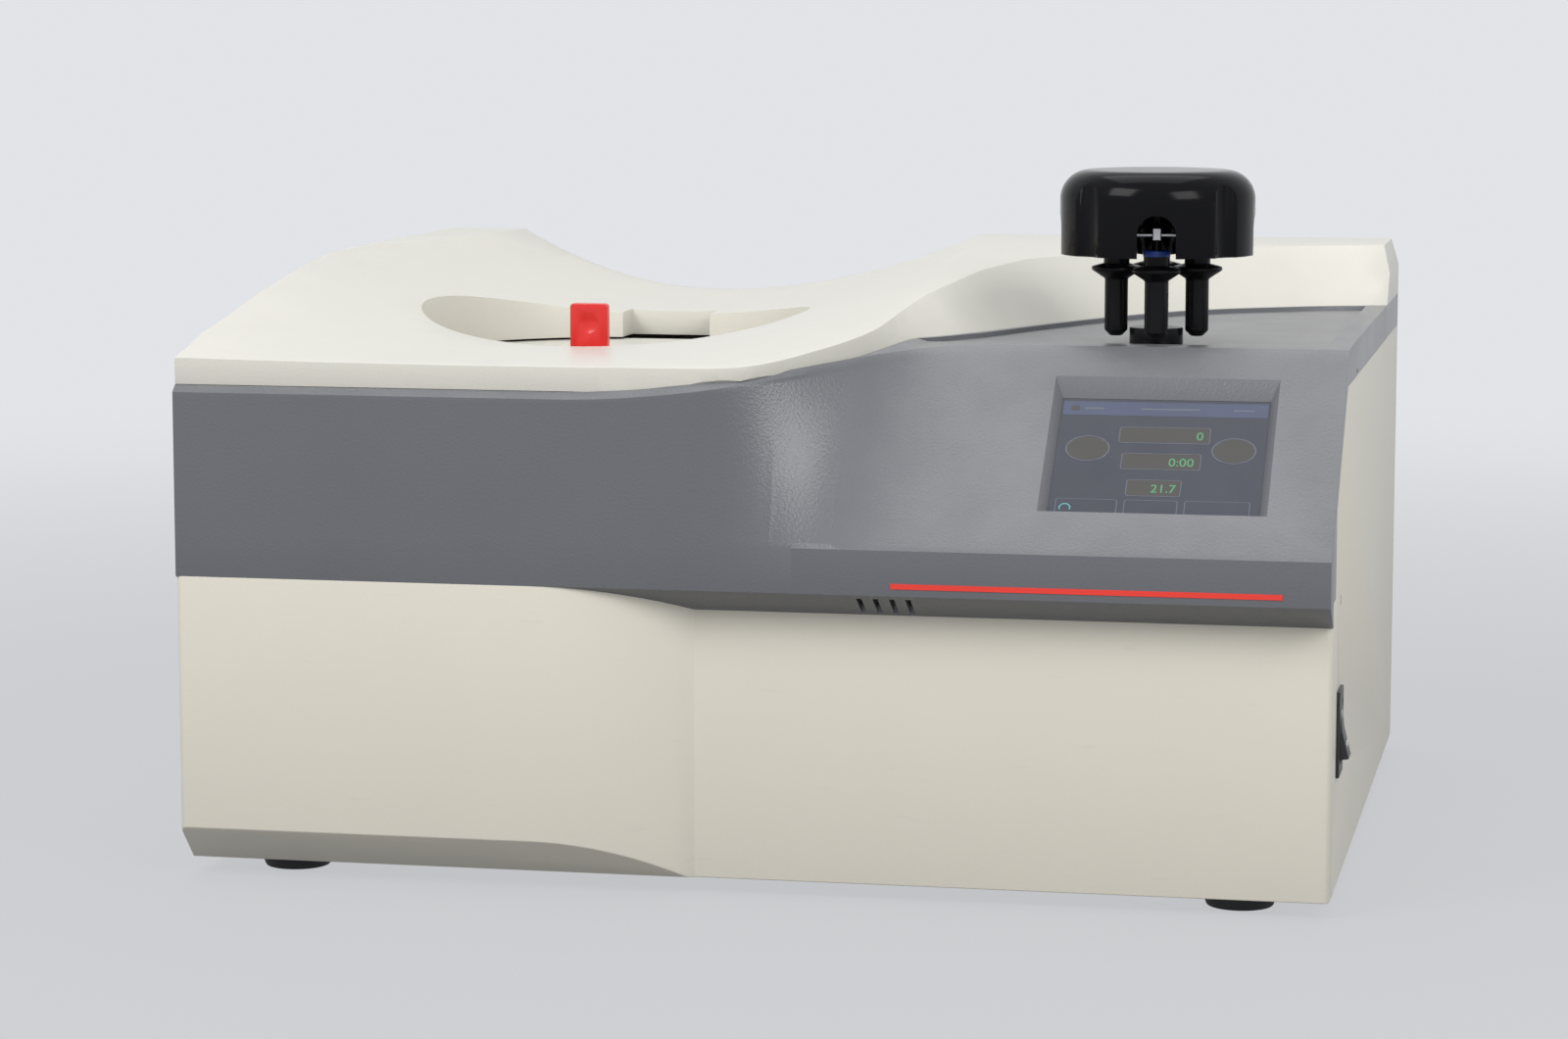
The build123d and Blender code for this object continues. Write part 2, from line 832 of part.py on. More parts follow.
def isolators():
    shapes = []
    for i in range(isolator_count):
        turn = radians(90 + 360 * i / isolator_count)
        x = bowl_x + isolator_circle * cos(turn)
        y = bowl_y + isolator_circle * sin(turn)
        shapes.append(post(isolator_radius, x, y, (pan_top, drive_bottom)))
    return shapes


def cooler_places():
    steps = ((1, 0), (-1, 0), (0, 1), (0, -1))
    return [(bowl_x + cooler_circle * dx, bowl_y + cooler_circle * dy) for dx, dy in steps]


def cooling_modules():
    top = well_floor - chamber_wall
    z = (top - cooler_thickness, top)
    size = cooler_size / 2
    return [block((x - size, x + size), (y - size, y + size), z) for x, y in cooler_places()]


def heat_sink():
    """A finned plate under the coolers, open in the middle for the drive."""
    top = well_floor - chamber_wall - cooler_thickness
    size = sink_length / 2
    span = (bowl_x - size, bowl_x + size)
    y = (bowl_y - size, bowl_y + size)
    low = top - sink_base
    plate = block(span, y, (low, top))
    pitch = (sink_length - fin_thickness) / (fin_count - 1)
    for i in range(fin_count):
        x = span[0] + i * pitch
        plate = plate + block((x, x + fin_thickness), y, (low - sink_fin, low + 0.5))
    return plate - post(drive_radius + 2, bowl_x, bowl_y, (top - 60, top + 1))


def fan_y():
    return rear_y - sheet - fan_depth, rear_y - sheet


def fan_housing():
    y = fan_y()
    size = fan_size / 2
    frame = block((bowl_x - size, bowl_x + size), y, (fan_z - size, fan_z + size))
    frame = frame - along_y(fan_bore, bowl_x, (y[0] - 1, y[1] + 1), fan_z)
    motor = along_y(fan_hub - 2, bowl_x, (y[1] - 8, y[1]), fan_z)
    for i in range(4):
        arm = block((-2, 2), (y[1] - 4, y[1]), (8, fan_bore + 1))
        motor = motor + Pos(bowl_x, 0, fan_z) * Rot(0, 45 + 90 * i, 0) * arm
    axle = along_y(3, bowl_x, (y[0] + 6, y[1] - 7), fan_z)
    return frame + motor + axle


def fan_impeller():
    y = (fan_y()[0] + 3, fan_y()[1] - 9)
    hub = along_y(fan_hub, bowl_x, y, fan_z)
    for i in range(fan_blades):
        reach = fan_bore - fan_tip_gap
        blade = Rot(35, 0, 0) * Box(reach - fan_hub + 2, 20, blade_thickness)
        blade = Pos((fan_hub + reach) / 2 - 1, 0, 0) * blade
        hub = hub + Pos(bowl_x, (y[0] + y[1]) / 2, fan_z) * Rot(0, 360 * i / fan_blades, 0) * blade
    return hub - along_y(3 + running_gap, bowl_x, (y[0] - 9, y[1] + 9), fan_z)


def fan_guard():
    """Rings and spokes over the outlet, as one flat grille."""
    y = (rear_y, rear_y + 2)
    through = (rear_y - 1, rear_y + 3)
    guard = along_y(fan_bore + 3, bowl_x, y, fan_z) - along_y(fan_bore - 1, bowl_x, through, fan_z)
    for i in range(1, guard_rings):
        radius = fan_bore * i / guard_rings
        wire = along_y(radius + 1, bowl_x, y, fan_z) - along_y(radius - 1, bowl_x, through, fan_z)
        guard = guard + wire
    for turn in (0, 90):
        guard = guard + Pos(bowl_x, 0, fan_z) * Rot(0, turn, 0) * block((-fan_bore, fan_bore), y, (-1.2, 1.2))
    return guard


def screen_glass():
    plane = screen_plane().offset(-bezel_depth - glass_thickness)
    return extrude(plane * Rectangle(screen_width, screen_height), glass_thickness)


def display_module():
    plane = screen_plane().offset(-bezel_depth - glass_thickness - module_thickness)
    return extrude(plane * Rectangle(screen_width + 14, screen_height + 14), module_thickness)


def display_board():
    lift = bezel_depth + glass_thickness + module_thickness
    plane = screen_plane().offset(-lift - 8)
    board = extrude(plane * Rectangle(screen_width, screen_height - 10), board_thickness)
    for dx in (-55, 55):
        for dy in (-36, 36):
            board = board + extrude(plane * Pos(dx, dy) * Circle(3), 8)
    return board


def switch_bezel():
    """The frame on the side panel, the can behind it and the rocker's pin."""
    y = (switch_y - switch_width / 2, switch_y + switch_width / 2)
    z = (switch_z - switch_length / 2, switch_z + switch_length / 2)
    can_y = (switch_y - switch_can_width / 2, switch_y + switch_can_width / 2)
    can_z = (switch_z - switch_can_length / 2, switch_z + switch_can_length / 2)
    well_y = (switch_y - rocker_width / 2, switch_y + rocker_width / 2)
    well_z = (switch_z - rocker_length / 2, switch_z + rocker_length / 2)
    frame = block((half, half + switch_proud), y, z)
    frame = frame + block((half - switch_depth, half), can_y, can_z)
    frame = frame - block((half - 18, half + 9), well_y, well_z)
    return frame + along_y(rocker_pin, half - rocker_pivot, (well_y[0] - 1, well_y[1] + 1), switch_z)


def power_rocker():
    """Tilted at rest so that its lower end stands out."""
    w = rocker_width / 2 - rocker_gap
    reach = rocker_length / 2 - 1.8
    face_x = rocker_reach + 5.5
    corners = [(-5, -8), (2, -reach), (face_x, -reach), (face_x - 1.2, 0)]
    corners += [(face_x, reach), (2, reach), (-5, 8)]
    face = make_face(Polyline(*[(x, -w, z) for x, z in corners], close=True))
    rocker = extrude(face, 2 * w, dir=(0, 1, 0))
    rocker = rocker - along_y(rocker_pin + running_gap, 0, (-w - 1, w + 1), 0)
    return Pos(half - rocker_pivot, switch_y, switch_z) * Rot(0, -rocker_tilt, 0) * rocker


def inlet_outline(grow):
    """The mains inlet's X and Z range on the rear panel, grown all round."""
    x = (inlet_x * across - inlet_width / 2 - grow, inlet_x * across + inlet_width / 2 + grow)
    return x, (inlet_z - inlet_height / 2 - grow, inlet_z + inlet_height / 2 + grow)


def power_inlet():
    """A flanged socket with three blades."""
    x, z = inlet_outline(0)
    flange_x, flange_z = inlet_outline(5)
    socket_x, socket_z = inlet_outline(-3)
    inlet = block(x, (rear_y - inlet_depth, rear_y), z)
    inlet = inlet + block(flange_x, (rear_y, rear_y + 1.8), flange_z)
    inlet = inlet - block(socket_x, (rear_y - 16, rear_y + 9), socket_z)
    for shift in (-6, 0, 6):
        blade_x = inlet_x * across + shift
        x = (blade_x - 1, blade_x + 1)
        inlet = inlet + block(x, (rear_y - 17, rear_y - 3), (inlet_z - 3, inlet_z + 3))
    return inlet


def vacuum_pump():
    """The pump's case on the foot plate that also carries its motor."""
    x = (pump_x - pump_width / 2, pump_x + pump_width / 2)
    foot_x = (x[0] - pump_foot, x[1] + pump_foot)
    foot_y = (pump_y[0] - motor_length + 30, pump_y[1] + pump_foot)
    case = block(x, pump_y, (pump_z[0] - 0.5, pump_z[1]))
    return case + block(foot_x, foot_y, (pan_top + 2, pump_z[0]))


def pump_motor():
    return along_y(motor_radius, pump_x, (pump_y[0] - motor_length, pump_y[0]), pan_top + 60)


def pump_mounts():
    shapes = []
    for x in (pump_x - 40, pump_x + 40):
        for y in (pump_y[0] - motor_length + 40, pump_y[1] - 5):
            shapes.append(post(mount_radius, x, y, (pan_top, pan_top + 2)))
    return shapes


def panel_screws():
    """Round heads along the rear panel's edges."""
    shapes = []
    for share in (-3, -1, 1, 3):
        x = share * (half - 23) / 3
        for z in (bottom_z + 14, seam_z - 14):
            shapes.append(along_y(4, x, (rear_y, rear_y + 1.6), z))
    return shapes


def exhaust_barb():
    """The pipe from the pump through the rear panel, with its hose end."""
    pipe = along_y(barb_pipe, pump_x, (pump_y[1], rear_y), barb_z)
    pipe = pipe + along_y(barb_radius, pump_x, (rear_y, rear_y + barb_length), barb_z)
    return pipe - along_y(barb_bore, pump_x, (pump_y[1] - 1, rear_y + barb_length + 1), barb_z)


def diffusion_pump():
    body = post(diffusion_radius, diffusion_x, diffusion_y, (pan_top, pan_top + diffusion_height))
    for i in range(diffusion_rings):
        z = pan_top + 20 + 14 * i
        body = body + post(diffusion_radius + 6, diffusion_x, diffusion_y, (z, z + 2))
    return body


def vacuum_hose():
    """From the top of the diffusion pump over to the chamber's wall."""
    reach = bowl_x + chamber_radius + chamber_wall + lift_gap + ring_wall
    top = pan_top + diffusion_height
    high = well_floor + 30
    points = [(diffusion_x, diffusion_y, top), (diffusion_x, diffusion_y, high)]
    points += [(diffusion_x, bowl_y, high), (reach + 0.3, bowl_y, high)]
    path = FilletPolyline(*points, radius=hose_bend)
    return sweep(Plane(origin=points[0], z_dir=(0, 0, 1)) * Circle(hose_radius), path=path)


def power_supply():
    return block(supply_x, supply_y, (pan_top, pan_top + supply_height))


def drive_electronics():
    """The drive's board on its posts."""
    board = block(board_x, board_y, (board_z, board_z + board_thickness))
    for x in (board_x[0] + 8, board_x[1] - 8):
        for y in (board_y[0] + 8, board_y[1] - 8):
            board = board + post(board_post, x, y, (pan_top, board_z + 0.5))
    return board


def capacitors():
    low = board_z + board_thickness
    pitch = 2 * can_radius + 6
    start = board_x[0] + can_radius + 19
    y = board_y[1] - can_radius - 14
    return [post(can_radius, start + pitch * i, y, (low, low + can_height)) for i in range(can_count)]


def board_sink():
    """The board's own heat sink, its fins along Y."""
    low = board_z + board_thickness
    x = (board_x[0] + 15, board_x[1] - 15)
    y = (board_y[0] + 40, board_y[0] + 40 + fins_length)
    sink = block(x, y, (low, low + 8))
    pitch = (x[1] - x[0] - 2.5) / (board_fins - 1)
    for i in range(board_fins):
        fin_x = x[0] + i * pitch
        sink = sink + block((fin_x, fin_x + 2.5), y, (low + 7.5, low + fins_height))
    return sink


def transformer():
    return ring(coil_radius, coil_hole, coil_x, coil_y, (pan_top, pan_top + coil_height))


def lock_solenoid():
    """The lock's coil on its bent arm under the left rail."""
    y = (lock_y - lock_width / 2, lock_y + lock_width / 2)
    coil = block((lock_x, rail_x[0] - 12), y, (door_middle - lock_height / 2, door_middle + lock_height / 2))
    arm = block((lock_x, rail_x[0] + 14), y, (plate_bottom - lock_arm, plate_bottom))
    arm = arm + block((lock_x, lock_x + 4), y, (plate_bottom - lock_arm, door_middle))
    return coil + arm - along_x(bolt_radius + running_gap, (lock_x + 6, rail_x[0]), lock_y, door_middle)


def lock_bolt():
    end = door_x[0] - tongue - 1
    return along_x(bolt_radius, (end - bolt_length, end), lock_y, door_middle)


def chamber_frame():
    """Four legs that carry the chamber plate from the base pan."""
    shapes = []
    size = leg / 2
    for x in (rail_x[0] + size, rail_x[1] - size):
        for y in (door_y[0] + 2, rear_y - 60):
            shapes.append(block((x - size, x + size), (y - size, y + size), (pan_top, plate_bottom)))
    return shapes


def rotor_angle(i):
    return rotor_turn - 90 + 360 * i / bucket_count


def at_rotor(shape, i=0):
    """A piece drawn along +X from the rotor's axis, turned to bucket i."""
    return Pos(rotor_x * across, rotor_y * along, 0) * Rot(0, 0, rotor_angle(i)) * shape


def rotor_body():
    low = rotor_bottom
    dome = post(rotor_radius, 0, 0, (low, low + rotor_height))
    dome = fillet(dome.edges().filter_by(GeomType.CIRCLE).sort_by(Axis.Z)[-1], rotor_shoulder)
    bound = post(slot_reach, 0, 0, (low - 1, low + slot_height))
    slots = block((-60, 60), (-slot_half, slot_half), (low - 1, low + slot_height)) & bound
    slots = slots + Rot(0, 0, 90) * slots - post(rotor_hub_radius, 0, 0, (low - 2, low + slot_height + 1))
    dome = dome - slots
    arch = window_width / 2
    arch_z = low + window_height - arch
    for i in range(bucket_count):
        turn = Rot(0, 0, 360 * i / bucket_count)
        window = block((slot_reach - 3, rotor_radius + 5), (-arch, arch), (low - 1, arch_z))
        window = window + along_x(arch, (slot_reach - 3, rotor_radius + 5), 0, arch_z)
        dome = dome - turn * window
        seat = slot_half + pin_seat
        dome = dome - turn * along_y(pin_radius, bucket_circle, (-seat, seat), pivot_z)
        flute_x = rotor_radius + flute_radius - flute_depth
        flute = post(flute_radius, flute_x, 0, (low - 1, low + flute_height))
        dome = dome - Rot(0, 0, 45) * turn * flute
    dome = dome - post(rotor_bore, 0, 0, (low - 1, low + bore_depth))
    return at_rotor(dome)


def rotor_pins():
    seat = slot_half + pin_seat
    pin = along_y(pin_radius, bucket_circle, (-seat, seat), pivot_z)
    return [at_rotor(pin, i) for i in range(bucket_count)]


def bucket_profile():
    waist = -collar_drop - collar_slope
    return [
        (0, -bucket_reach),
        (bucket_radius - bucket_tip, -bucket_reach),
        (bucket_radius, -bucket_reach + bucket_tip),
        (bucket_radius, waist),
        (collar_radius, -collar_drop - 1),
        (collar_radius, -collar_drop + 1),
        (cap_radius, -cap_base),
        (0, -cap_base),
    ]


def hung(shape, i):
    """A piece drawn about the pivot, hung on pin i."""
    return at_rotor(Pos(bucket_circle, 0, pivot_z) * shape, i)


def bucket(i):
    return hung(turned(bucket_profile()), i)


def bucket_cap(i):
    """The screw cap with its hanger and the eye that rides on the pin."""
    top = -cap_base + cap_height
    cap = post(cap_radius, 0, 0, (-cap_base, top)) + post(3, 0, 0, (top - 1, -eye_radius + 1))
    cap = cap + post(cap_ring_radius, 0, 0, (top, top + cap_ring_height))
    eye = along_y(eye_radius, 0, (-hanger_width / 2, hanger_width / 2), 0)
    return hung(cap + eye - along_y(pin_radius + running_gap, 0, (-9, 9), 0), i)


def rotor_stand():
    """A round foot, a post and the short pin that the bush turns on."""
    low = tray_floor
    pin_low = rotor_bottom - bush_flange
    profile = [(0, low), (stand_radius, low), (stand_radius, low + stand_base)]
    profile += [(stand_post_radius, low + stand_base), (stand_post_radius, pin_low)]
    profile += [(bush_pin, pin_low), (bush_pin, rotor_bottom - 1), (0, rotor_bottom - 1)]
    return Pos(rotor_x * across, rotor_y * along, 0) * turned(profile)


def stand_bush():
    """The sleeve on the stand that turns with the rotor."""
    low = rotor_bottom - bush_flange
    top = rotor_bottom + bush_nose
    nose = rotor_bore - running_gap
    profile = [(bush_pin + running_gap, low), (stand_post_radius, low), (stand_post_radius, rotor_bottom)]
    profile += [(nose, rotor_bottom), (nose, top), (0, top), (0, rotor_bottom - 0.9)]
    profile += [(bush_pin + running_gap, rotor_bottom - 0.9)]
    return Pos(rotor_x * across, rotor_y * along, 0) * turned(profile)


def write(name, shape):
    if isinstance(shape, (list, tuple)):
        shape = Compound([s if isinstance(s, Solid) else s.solids()[0] for s in shape])
    export_step(shape, f"parts/{name}.step")
    print(name, len(shape.solids()), round(sum(s.volume for s in shape.solids())), flush=True)


def main():
    os.makedirs("parts", exist_ok=True)
    right_side, left_side = side_panels()
    pieces = {
        "lower_front_panel": lower_front_panel(),
        "side_panel_right": right_side,
        "side_panel_left": left_side,
        "rear_panel": rear_panel(),
        "base_pan": base_pan(),
        "feet": feet(),
        "chamber_plate": chamber_plate(),
        "chamber_seal": chamber_seal(),
        "vacuum_chamber": vacuum_chamber(),
        "armour_ring": armour_ring(),
        "chamber_frame": chamber_frame(),
        "chamber_door": chamber_door(),
        "door_handle": door_handle(),
        "door_rails": door_rails(),
        "lock_solenoid": lock_solenoid(),
        "lock_bolt": lock_bolt(),
        "drive_housing": drive_housing(),
        "drive_bearings": drive_bearings(),
        "drive_spindle": drive_spindle(),
        "spindle_hub": spindle_hub(),
        "drive_isolators": isolators(),
        "cooling_modules": cooling_modules(),
        "heat_sink": heat_sink(),
        "fan_housing": fan_housing(),
        "fan_impeller": fan_impeller(),
        "fan_guard": fan_guard(),
        "screen_glass": screen_glass(),
        "display_module": display_module(),
        "display_board": display_board(),
        "switch_bezel": switch_bezel(),
        "power_rocker": power_rocker(),
        "power_inlet": power_inlet(),
        "vacuum_pump": vacuum_pump(),
        "pump_motor": pump_motor(),
        "pump_mounts": pump_mounts(),
        "panel_screws": panel_screws(),
        "exhaust_barb": exhaust_barb(),
        "diffusion_pump": diffusion_pump(),
        "vacuum_hose": vacuum_hose(),
        "power_supply": power_supply(),
        "drive_board": drive_electronics(),
        "board_capacitors": capacitors(),
        "board_heat_sink": board_sink(),
        "transformer": transformer(),
        "stripe_inlay": stripe_inlay(),
        "rotor_stand": rotor_stand(),
        "stand_bush": stand_bush(),
        "rotor_body": rotor_body(),
        "rotor_pins": rotor_pins(),
    }
    for i in range(bucket_count):
        pieces[f"bucket_{i + 1}"] = bucket(i)
        pieces[f"bucket_cap_{i + 1}"] = bucket_cap(i)
    for name, shape in pieces.items():
        write(name, shape)
    write("control_housing", control_housing())
    write("top_cover", top_cover())


if __name__ == "__main__":
    main()
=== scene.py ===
# %% [markdown]
# # A benchtop ultracentrifuge
# The cabinet stands on a bench with its chamber door shut. A swinging-bucket rotor
# has been taken out and stands on the deck at the right, on its little stand. The
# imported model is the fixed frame, and everything below is dressed around it.

# %% Load the frame
import math

import bmesh
import bpy
from mathutils import Matrix, Vector
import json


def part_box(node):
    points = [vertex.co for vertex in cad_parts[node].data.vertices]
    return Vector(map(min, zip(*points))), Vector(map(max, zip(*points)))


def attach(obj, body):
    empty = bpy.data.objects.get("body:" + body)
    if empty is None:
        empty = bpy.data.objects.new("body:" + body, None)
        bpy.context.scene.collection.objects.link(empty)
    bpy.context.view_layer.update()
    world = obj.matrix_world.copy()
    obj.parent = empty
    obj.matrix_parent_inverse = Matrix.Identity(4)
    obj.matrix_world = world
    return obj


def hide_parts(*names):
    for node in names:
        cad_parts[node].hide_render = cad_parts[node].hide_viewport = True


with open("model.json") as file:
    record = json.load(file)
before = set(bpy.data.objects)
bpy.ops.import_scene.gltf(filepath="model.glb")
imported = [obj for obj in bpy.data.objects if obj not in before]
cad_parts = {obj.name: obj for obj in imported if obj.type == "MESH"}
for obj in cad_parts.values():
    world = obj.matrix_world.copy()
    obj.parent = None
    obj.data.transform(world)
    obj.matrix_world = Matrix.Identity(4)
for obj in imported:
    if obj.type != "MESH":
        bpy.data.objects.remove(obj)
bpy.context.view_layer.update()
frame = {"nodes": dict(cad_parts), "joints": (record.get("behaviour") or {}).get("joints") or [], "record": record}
nodes = frame["nodes"]

# %% [markdown]
# ## Camera
# The photograph is taken from the front, a little to the right and just above the
# cabinet, with a long lens. The lens and the place were worked out from the
# cabinet's straight edges, so that a square corner in the model is a square corner
# in the picture.

# %% Place the camera
camera_place = (0.5270, -2.7169, 0.5404)
camera_turn = 11.683
camera_dip = 7.090
camera_lens = 95.66

camera_data = bpy.data.cameras.new("camera")
camera = bpy.data.objects.new("camera", camera_data)
bpy.context.scene.collection.objects.link(camera)
camera_data.lens = camera_lens
camera_data.sensor_width = 36
camera_data.clip_end = 50
camera.location = camera_place
camera.rotation_euler = (math.radians(90 - camera_dip), 0, math.radians(camera_turn))
bpy.context.scene.camera = camera
print("lens", camera_lens, "mm")

# %% [markdown]
# ## Room
# The camera and the reflections see a pale floor that fades into a pale sky, so the
# background is nearly white. The floor itself throws back little light, so that the
# undersides stay dark, as they do on a workbench. Three soft lamps light the object
# from the left, the right and above.

# %% Floor, sky and lamps
def straight_rays(tree):
    """1 where a ray comes from the camera or from a mirror or glass, else 0."""
    ray = tree.nodes.new("ShaderNodeLightPath")
    value = ray.outputs["Is Camera Ray"]
    for kind in ("Is Glossy Ray", "Is Transmission Ray"):
        either = tree.nodes.new("ShaderNodeMath")
        either.operation = "MAXIMUM"
        tree.links.new(value, either.inputs[0])
        tree.links.new(ray.outputs[kind], either.inputs[1])
        value = either.outputs["Value"]
    return value


backdrop_colour = (0.76, 0.775, 0.80, 1)
floor_colour = (0.20, 0.20, 0.21, 1)
floor_size = 24
fade_start = 0.5
fade_end = 3.0
near_share = 0.68
sky_colour = (0.85, 0.87, 0.90, 1)
sky_strength = 0.55

bpy.ops.object.select_all(action="DESELECT")
bpy.ops.mesh.primitive_plane_add(size=floor_size, location=(0, 0, 0))
floor = bpy.context.object
floor.name = "floor"

floor_paint = bpy.data.materials.new("pale_floor")
floor_paint.use_nodes = True
floor_tree = floor_paint.node_tree
shader = floor_tree.nodes["Principled BSDF"]
shader.inputs["Base Color"].default_value = floor_colour
shader.inputs["Roughness"].default_value = 0.7
glow = floor_tree.nodes.new("ShaderNodeEmission")
glow.inputs["Color"].default_value = backdrop_colour
place = floor_tree.nodes.new("ShaderNodeTexCoord")
reach = floor_tree.nodes.new("ShaderNodeVectorMath")
reach.operation = "LENGTH"
floor_tree.links.new(place.outputs["Object"], reach.inputs[0])
fade = floor_tree.nodes.new("ShaderNodeMapRange")
fade.interpolation_type = "SMOOTHSTEP"
fade.inputs["From Min"].default_value = fade_start
fade.inputs["From Max"].default_value = fade_end
fade.inputs["To Min"].default_value = near_share
floor_tree.links.new(reach.outputs["Value"], fade.inputs["Value"])
share = floor_tree.nodes.new("ShaderNodeMath")
share.operation = "MULTIPLY"
floor_tree.links.new(straight_rays(floor_tree), share.inputs[0])
floor_tree.links.new(fade.outputs["Result"], share.inputs[1])
mixed = floor_tree.nodes.new("ShaderNodeMixShader")
floor_tree.links.new(share.outputs["Value"], mixed.inputs["Fac"])
floor_tree.links.new(shader.outputs["BSDF"], mixed.inputs[1])
floor_tree.links.new(glow.outputs["Emission"], mixed.inputs[2])
surface = floor_tree.nodes["Material Output"].inputs["Surface"]
floor_tree.links.new(mixed.outputs["Shader"], surface)
floor.data.materials.append(floor_paint)

world = bpy.data.worlds.new("pale_sky")
bpy.context.scene.world = world
world.use_nodes = True
sky = world.node_tree
light = sky.nodes["Background"]
light.inputs["Color"].default_value = sky_colour
light.inputs["Strength"].default_value = sky_strength
seen = sky.nodes.new("ShaderNodeBackground")
seen.inputs["Color"].default_value = backdrop_colour
mixed = sky.nodes.new("ShaderNodeMixShader")
sky.links.new(straight_rays(sky), mixed.inputs["Fac"])
sky.links.new(light.outputs["Background"], mixed.inputs[1])
sky.links.new(seen.outputs["Background"], mixed.inputs[2])
sky.links.new(mixed.outputs["Shader"], sky.nodes["World Output"].inputs["Surface"])


def soft_lamp(name, place, aim, size, power):
    """A large square lamp at place that faces aim."""
    data = bpy.data.lights.new(name, "AREA")
    data.size = size
    data.energy = power
    lamp = bpy.data.objects.new(name, data)
    bpy.context.scene.collection.objects.link(lamp)
    lamp.location = place
    lamp.rotation_euler = (Vector(aim) - Vector(place)).to_track_quat("-Z", "Y").to_euler()


soft_lamp("key", (-1.6, -2.2, 2.4), (0, 0, 0.2), 1.6, 64)
soft_lamp("fill", (1.6, -1.7, 1.45), (0, -0.2, 0.25), 1.1, 26)
soft_lamp("top", (0, 0.5, 2.7), (0, 0, 0.3), 2.0, 24)
bpy.context.scene.view_settings.view_transform = "Standard"
print("floor, sky and", len(bpy.data.lights), "lamps")

# %% [markdown]
# ## Finishes
# Every finish is mixed from two small effects. The first is the grain of the
# surface, a fine height pattern with a broad, faint change of colour. The second is
# what handling leaves: dust on what faces up and short scuffs. Both are node groups,
# so that each paint or metal only sets its own numbers.

# %% A helper for node groups
def new_group(name, inputs, outputs):
    """A shader group with named inputs and plain number outputs."""
    group = bpy.data.node_groups.new(name, "ShaderNodeTree")
    for label, kind, value in inputs:
        socket = group.interface.new_socket(label, in_out="INPUT", socket_type=kind)
        if value is not None:
            socket.default_value = value
    for label in outputs:
        group.interface.new_socket(label, in_out="OUTPUT", socket_type="NodeSocketFloat")
    return group, group.nodes.new("NodeGroupInput"), group.nodes.new("NodeGroupOutput")


# %% Grain of the surface
grain_group, start, end = new_group(
    "surface_grain",
    [
        ("Place", "NodeSocketVector", None),
        ("Grain Scale", "NodeSocketFloat", 900.0),
        ("Mottle Scale", "NodeSocketFloat", 14.0),
    ],
    ["Height", "Mottle"],
)
fine = grain_group.nodes.new("ShaderNodeTexNoise")
fine.inputs["Detail"].default_value = 2.0
broad = grain_group.nodes.new("ShaderNodeTexNoise")
broad.inputs["Detail"].default_value = 4.0
for texture, scale in ((fine, "Grain Scale"), (broad, "Mottle Scale")):
    grain_group.links.new(start.outputs["Place"], texture.inputs["Vector"])
    grain_group.links.new(start.outputs[scale], texture.inputs["Scale"])
grain_group.links.new(fine.outputs["Fac"], end.inputs["Height"])
grain_group.links.new(broad.outputs["Fac"], end.inputs["Mottle"])
print("grain group with", len(grain_group.nodes), "nodes")

# %% Dust and scuffs
marks_group, start, end = new_group(
    "handling_marks",
    [
        ("Place", "NodeSocketVector", None),
        ("Dust", "NodeSocketFloat", 0.2),
        ("Scuffs", "NodeSocketFloat", 0.2),
    ],
    ["Dust", "Scuffs"],
)
facing = marks_group.nodes.new("ShaderNodeNewGeometry")
split = marks_group.nodes.new("ShaderNodeSeparateXYZ")
marks_group.links.new(facing.outputs["Normal"], split.inputs["Vector"])
upward = marks_group.nodes.new("ShaderNodeMapRange")
upward.inputs["From Min"].default_value = 0.35
marks_group.links.new(split.outputs["Z"], upward.inputs["Value"])
patch = marks_group.nodes.new("ShaderNodeTexNoise")
patch.inputs["Scale"].default_value = 35.0
patch.inputs["Detail"].default_value = 6.0
marks_group.links.new(start.outputs["Place"], patch.inputs["Vector"])
dusty = marks_group.nodes.new("ShaderNodeMath")
dusty.operation = "MULTIPLY"
marks_group.links.new(upward.outputs["Result"], dusty.inputs[0])
marks_group.links.new(patch.outputs["Fac"], dusty.inputs[1])
dust_level = marks_group.nodes.new("ShaderNodeMath")
dust_level.operation = "MULTIPLY"
marks_group.links.new(dusty.outputs["Value"], dust_level.inputs[0])
marks_group.links.new(start.outputs["Dust"], dust_level.inputs[1])
stretch = marks_group.nodes.new("ShaderNodeMapping")
stretch.inputs["Scale"].default_value = (9.0, 9.0, 42.0)
marks_group.links.new(start.outputs["Place"], stretch.inputs["Vector"])
streak = marks_group.nodes.new("ShaderNodeTexNoise")
streak.inputs["Scale"].default_value = 4.0
streak.inputs["Detail"].default_value = 5.0
marks_group.links.new(stretch.outputs["Vector"], streak.inputs["Vector"])
sparse = marks_group.nodes.new("ShaderNodeMapRange")
sparse.inputs["From Min"].default_value = 0.66
sparse.inputs["From Max"].default_value = 0.74
marks_group.links.new(streak.outputs["Fac"], sparse.inputs["Value"])
scuff_level = marks_group.nodes.new("ShaderNodeMath")
scuff_level.operation = "MULTIPLY"
marks_group.links.new(sparse.outputs["Result"], scuff_level.inputs[0])
marks_group.links.new(start.outputs["Scuffs"], scuff_level.inputs[1])
marks_group.links.new(dust_level.outputs["Value"], end.inputs["Dust"])
marks_group.links.new(scuff_level.outputs["Value"], end.inputs["Scuffs"])
print("marks group with", len(marks_group.nodes), "nodes")

# %% [markdown]
# A finish then takes a colour, a roughness and the size and depth of its grain. A
# stretch of the pattern along one axis turns the same grain into brushed metal, and
# a place for the pattern's middle lets turned pieces carry rings round their axis.

# %% A finish from its numbers
dust_colour = (0.50, 0.48, 0.45, 1)
rough_spread = 0.06
coat_roughness = 0.12
bump_strength = 0.6
ring_scale = 260.0


